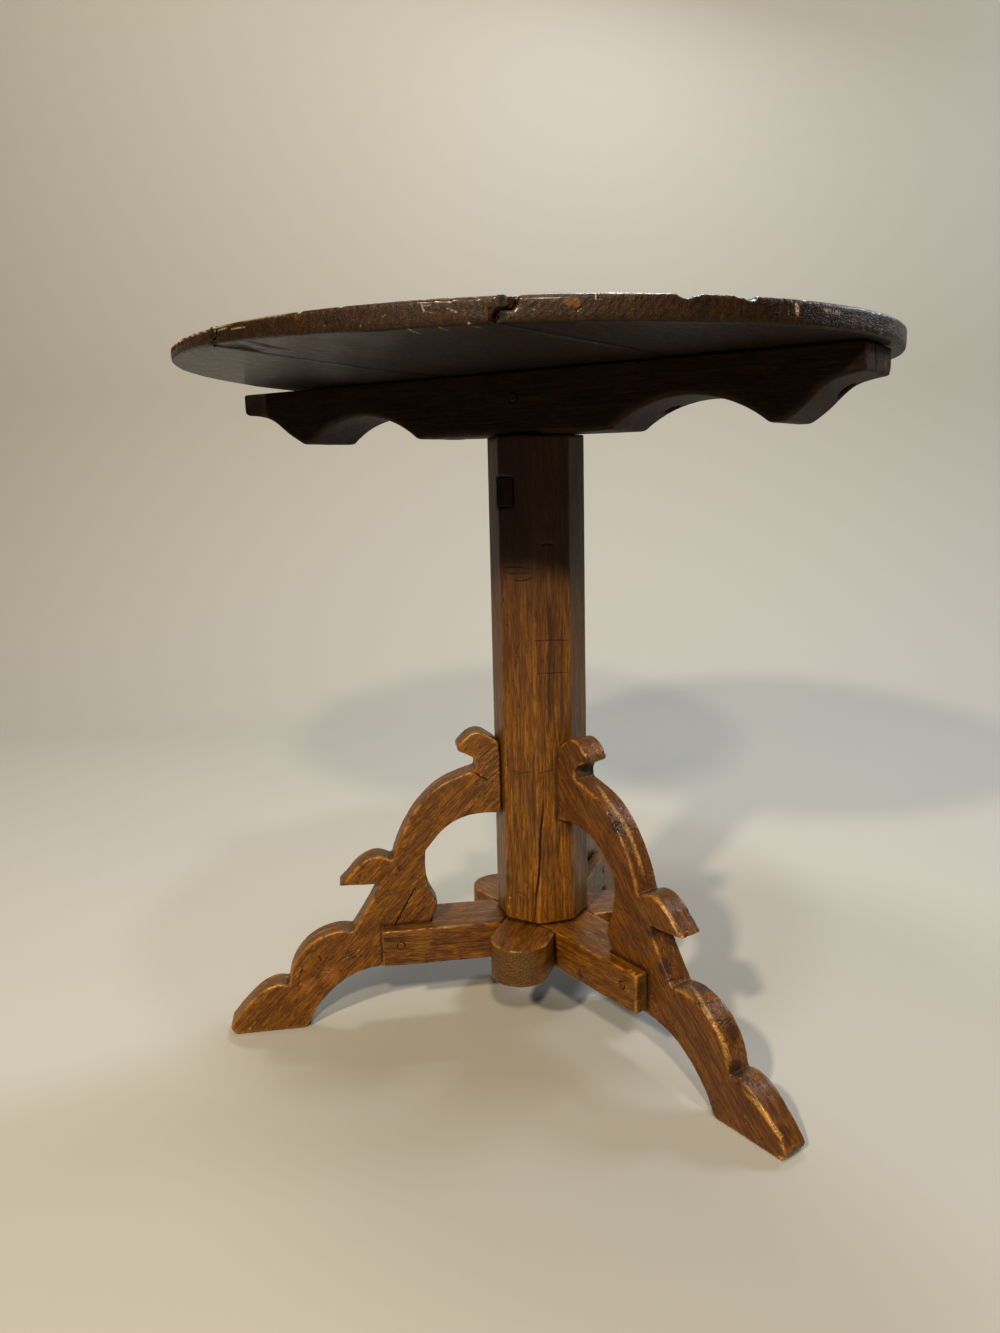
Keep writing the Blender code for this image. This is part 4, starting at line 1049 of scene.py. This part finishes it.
def makeBoard(side):
    seed = top["seeds"][side]
    grain, across = along(bearings["bearer"] + 90), along(bearings["bearer"])
    board = Timber("top_board_" + side, "board" + side.title(), top["cell"], grain, "top_wood")
    board.find = onTop
    joints = [joint for joint, sides in top["joints"].items() if side in sides]

    def fromJoint():
        return np.min([np.abs(board.points @ across - joint) for joint in joints], axis=0)

    board.refine(lambda points: np.linalg.norm(points[:, :2], axis=1) > top["radius"] - top["rimReach"])
    board.refine(lambda points: fromJoint() < top["cell"] * top["jointFine"])
    board.crisp(fromJoint() < top["cell"] * top["jointSharp"])
    board.deepen("calm", eased((top["sharpBelow"] - board.points[:, 2]) / top["sharpFade"] + 0.5))
    board.wear(top, seed)
    board.plane(*top["planed"], seed + 2)
    for pixel, depth, radius in top["bites"]:
        for inward in range(top["biteRounds"]):
            center = onRim([pixel])[0] * (1 - inward * radius * top["biteStep"] / top["radius"])
            center[2] = top["high"] + radius - depth
            board.bite(center, radius)
    teeth = onRim(top["teethPixels"])
    teeth[:, 2] = top["high"]
    board.refineNear([teeth], top["teethReach"])
    random = np.random.default_rng(seed)
    for start, end in zip(teeth, teeth[1:]):
        count = max(round(np.linalg.norm(end - start) / top["teethStep"]), 1)
        for step in range(count):
            place = start + (end - start) * (step + random.uniform(*top["teethShift"])) / count
            nearest = board.points[np.argmin(np.linalg.norm(board.points - place, axis=1))]
            board.dent(nearest, random.uniform(*top["teethSizes"]), random.uniform(*top["teethDepths"]))
    board.write()
    tearsAndGlints = [(onTop(pixels), width, strength) for pixels, width, strength in top["tearsAndGlints"]]
    tearsAndGlints = [tearGlint for tearGlint in tearsAndGlints if board.touches(tearGlint[0])]
    board.carve(top["cuts"], top, seed, 1, [tearGlint[0] for tearGlint in tearsAndGlints])
    board.write()
    # Pale torn fibers and painted glints
    for path, width, strength in tearsAndGlints:
        inside, away, _ = closeTo(board.points, path, width * top["tearGlintReach"])
        near = eased(top["tearGlintEdge"] - away / width)
        board.deepen("fleck", top["tearGlintShare"] * strength * near, inside)
    # Painted highlights along the rim's top arris
    for pixels, width, strength in top["glints"]:
        path = onRim(pixels, top["glintInset"])
        path[:, 2] = top["high"] - top["glintDrop"]
        if board.touches(path):
            board.streak("fleck", path, width, strength, seed)
    board.spotAll(top["spots"], seed)
    # Painted shade: a dark band along the joints, laid over the light that their edges catch
    board.deepen("mark", top["jointPaintedShade"] * eased(top["jointEdge"] - fromJoint() / top["jointWidth"]))
    inner = np.linalg.norm(board.points[:, :2], axis=1) < top["radius"] - top["rimReach"]
    board.deepen("calm", inner * eased(top["calmEdge"] - fromJoint() / top["jointCalm"]))
    # Painted shade on the underside: its colour is darkened, and it is also made rougher
    under = eased((top["low"] + top["underFade"] - board.points[:, 2]) / top["underFade"])
    board.deepen("dull", under)
    board.deepen("stain", top["underPaintedShade"] * under)
    board.markSeams(["bearer"], top["seamReach"])
    pith = (0.0, top["pithStep"] * seed % top["pithSpan"], top["pithDrop"])
    board.finish(changed(rimWood, pith=pith, ring=top["ring"]))


# Pegs, the patch and the wedge

smallPieces = {
    "cell": 0.0007,
    "chipSeed": 200, "planeSeed": 210,
    "chip": (0.003, 0.0003), "rarity": 0.35,
    "planed": ((0.01, 0.004, 0.004), 0.0002),
    "pith": (0.0, 0.01, 0.02), "wornShare": 0.2,
    "rows": {  # node: name, slot, grain, look and what differs from it
        "bearer_peg": ("bearerPeg", "peg_wood", along(bearings["bearer"] + 90), darkWood,
                       {"endDark": (0.016, 0.007, 0.003), "endLight": (0.06, 0.028, 0.01)}),
        "arm_peg_left": ("armPegLeft", "peg_wood", along(bearings["left"] + 90), honeyWood,
                         {"endDark": (0.09, 0.032, 0.006), "endLight": (0.16, 0.066, 0.01)}),
        "arm_peg_right": ("armPegRight", "peg_wood", along(bearings["right"] + 90), honeyWood,
                          {"endDark": (0.05, 0.018, 0.004), "endLight": (0.13, 0.052, 0.008)}),
        "arm_peg_back": ("armPegBack", "peg_wood", along(bearings["back"] + 90), honeyWood,
                         {"endDark": (0.09, 0.032, 0.006), "endLight": (0.16, 0.066, 0.01)}),
        # The patch's dark wood is partly its own darker tone, partly painted shade like the column's upper
        # part
        "column_patch": ("columnPatch", "patch_wood", (0, 0, 1), darkWood, {"wornShare": 0.3}),
        "column_foot_wedge": ("footWedge", "wedge_wood", (0, 0, 1), honeyWood, {}),
    },
}


def makeSmallPieces():
    for number, (node, row) in enumerate(smallPieces["rows"].items()):
        name, slot, grain, look, changes = row
        piece = Timber(node, name, smallPieces["cell"], grain, slot)
        piece.chip(*smallPieces["chip"], smallPieces["chipSeed"] + number, smallPieces["rarity"])
        piece.plane(*smallPieces["planed"], smallPieces["planeSeed"] + number)
        own = changed(look, pith=smallPieces["pith"], wornShare=smallPieces["wornShare"])
        piece.finish(changed(own, **changes))


# Screws keep their solids and get old iron

ironLook = {
    "bare": (0.1, 0.09, 0.085), "rust": (0.085, 0.034, 0.014),
    "rustNoise": (700.0, 4.0, 0.7), "rustEdges": (0.45, 0.62),
    "metal": 0.95, "metalLost": 0.8, "rough": 0.42, "rustRough": 0.4,
    "pitNoise": (1500.0, 3.0, 0.6), "pitStrength": 0.6, "pitHeight": 0.0004,
}


def ironMaterial():
    shader = Shader("oldIron")
    spot = shader.add("TexCoord", 3)
    rust = shader.step(shader.noise(spot, *ironLook["rustNoise"]), *ironLook["rustEdges"])
    pits = shader.noise(spot, *ironLook["pitNoise"])
    return shader.finish(
        **{"Base Color": shader.blend(rust, ironLook["bare"], ironLook["rust"])},
        Metallic=shader.less(ironLook["metal"], shader.times(rust, ironLook["metalLost"])),
        Roughness=shader.plus(ironLook["rough"], shader.times(rust, ironLook["rustRough"])),
        Normal=shader.bump(pits, ironLook["pitStrength"], ironLook["pitHeight"]))


def dressScrews():
    iron = ironMaterial()
    for name, node in nodes.items():
        if name.startswith("screw_"):
            node.data.materials.clear()
            node.data.materials.append(iron)


for side in footSides:
    makeLeg(side)
    makeBar(side)
makeColumn()
makeBearer()
for side in boardSides:
    makeBoard(side)
makeSmallPieces()
dressScrews()
print("timbers and screws done")


# Floor, backdrop and light

studio = {
    "floorFront": -4.0, "floorBack": 1.3, "wallRadius": 0.9, "wallHeight": 4.0, "halfWidth": 4.5,
    "curveSteps": 24,
    "paint": (0.36, 0.345, 0.315), "paintRough": 0.9,
    "ambient": (0.8, 0.86, 0.95), "ambientPower": 0.05,
    "aim": (0.0, 0.0, 0.35), "wallAim": (-0.4, 2.2, 1.3),
    "lights": {  # place, size, power, tint and what it aims at
        "keyLeft": ((-1.35, -2.7, 2.45), 0.22, 102.0, (1.0, 0.86, 0.64), "aim"),
        "keyFront": ((0.1, -2.9, 2.4), 0.22, 68.0, (1.0, 0.86, 0.66), "aim"),
        "window": ((2.7, 1.2, 2.2), 0.9, 34.0, (0.76, 0.88, 1.0), "aim"),
        "behind": ((0.4, 1.5, 2.5), 0.5, 30.0, (0.86, 0.93, 1.0), "aim"),
        "ceiling": ((0.3, -0.9, 3.1), 0.3, 16.0, (0.8, 0.9, 1.0), "aim"),
        "wallWash": ((-0.6, 0.3, 3.4), 0.8, 34.0, (1.0, 0.93, 0.8), "wallAim"),
    },
}


def makeFloor():
    bm = bmesh.new()
    corner = bm.verts.new((-studio["halfWidth"], studio["floorFront"], 0))
    back = bm.verts.new((-studio["halfWidth"], studio["floorBack"], 0))
    bm.edges.new((corner, back))
    center = (0, studio["floorBack"], studio["wallRadius"])
    curve = bmesh.ops.spin(bm, geom=[back], cent=center, axis=(1, 0, 0), angle=math.pi / 2,
                           steps=studio["curveSteps"])
    end = next(item for item in curve["geom_last"] if isinstance(item, bmesh.types.BMVert))
    rise = bmesh.ops.extrude_vert_indiv(bm, verts=[end])["verts"]
    bmesh.ops.translate(bm, vec=(0, 0, studio["wallHeight"]), verts=rise)
    drawn = bmesh.ops.extrude_edge_only(bm, edges=list(bm.edges))["geom"]
    moved = [item for item in drawn if isinstance(item, bmesh.types.BMVert)]
    bmesh.ops.translate(bm, vec=(2 * studio["halfWidth"], 0, 0), verts=moved)
    bmesh.ops.recalc_face_normals(bm, faces=bm.faces)
    mesh = bpy.data.meshes.new("floor")
    bm.to_mesh(mesh)
    bm.free()
    mesh.shade_smooth()
    floor = bpy.data.objects.new("floor", mesh)
    bpy.context.scene.collection.objects.link(floor)
    paint = {"Base Color": studio["paint"], "Roughness": studio["paintRough"]}
    mesh.materials.append(Shader("floorPaint").finish(**paint))


def makeLights():
    for name, (place, size, power, tint, target) in studio["lights"].items():
        data = bpy.data.lights.new(name, "AREA")
        data.shape = "DISK"
        data.size = size
        data.energy = power
        data.color = tint
        light = bpy.data.objects.new(name, data)
        light.location = place
        aim = Vector(studio[target]) - Vector(place)
        light.rotation_euler = aim.to_track_quat("-Z", "Y").to_euler()
        bpy.context.scene.collection.objects.link(light)
    world = bpy.data.worlds.new("studio")
    world.use_nodes = True
    sky = world.node_tree.nodes["Background"]
    sky.inputs["Color"].default_value = (*studio["ambient"], 1.0)
    sky.inputs["Strength"].default_value = studio["ambientPower"]
    bpy.context.scene.world = world


makeFloor()
makeLights()
bpy.context.scene.view_settings.view_transform = "Standard"
bpy.context.scene.view_settings.look = "Medium High Contrast"
print("floor and lights set")
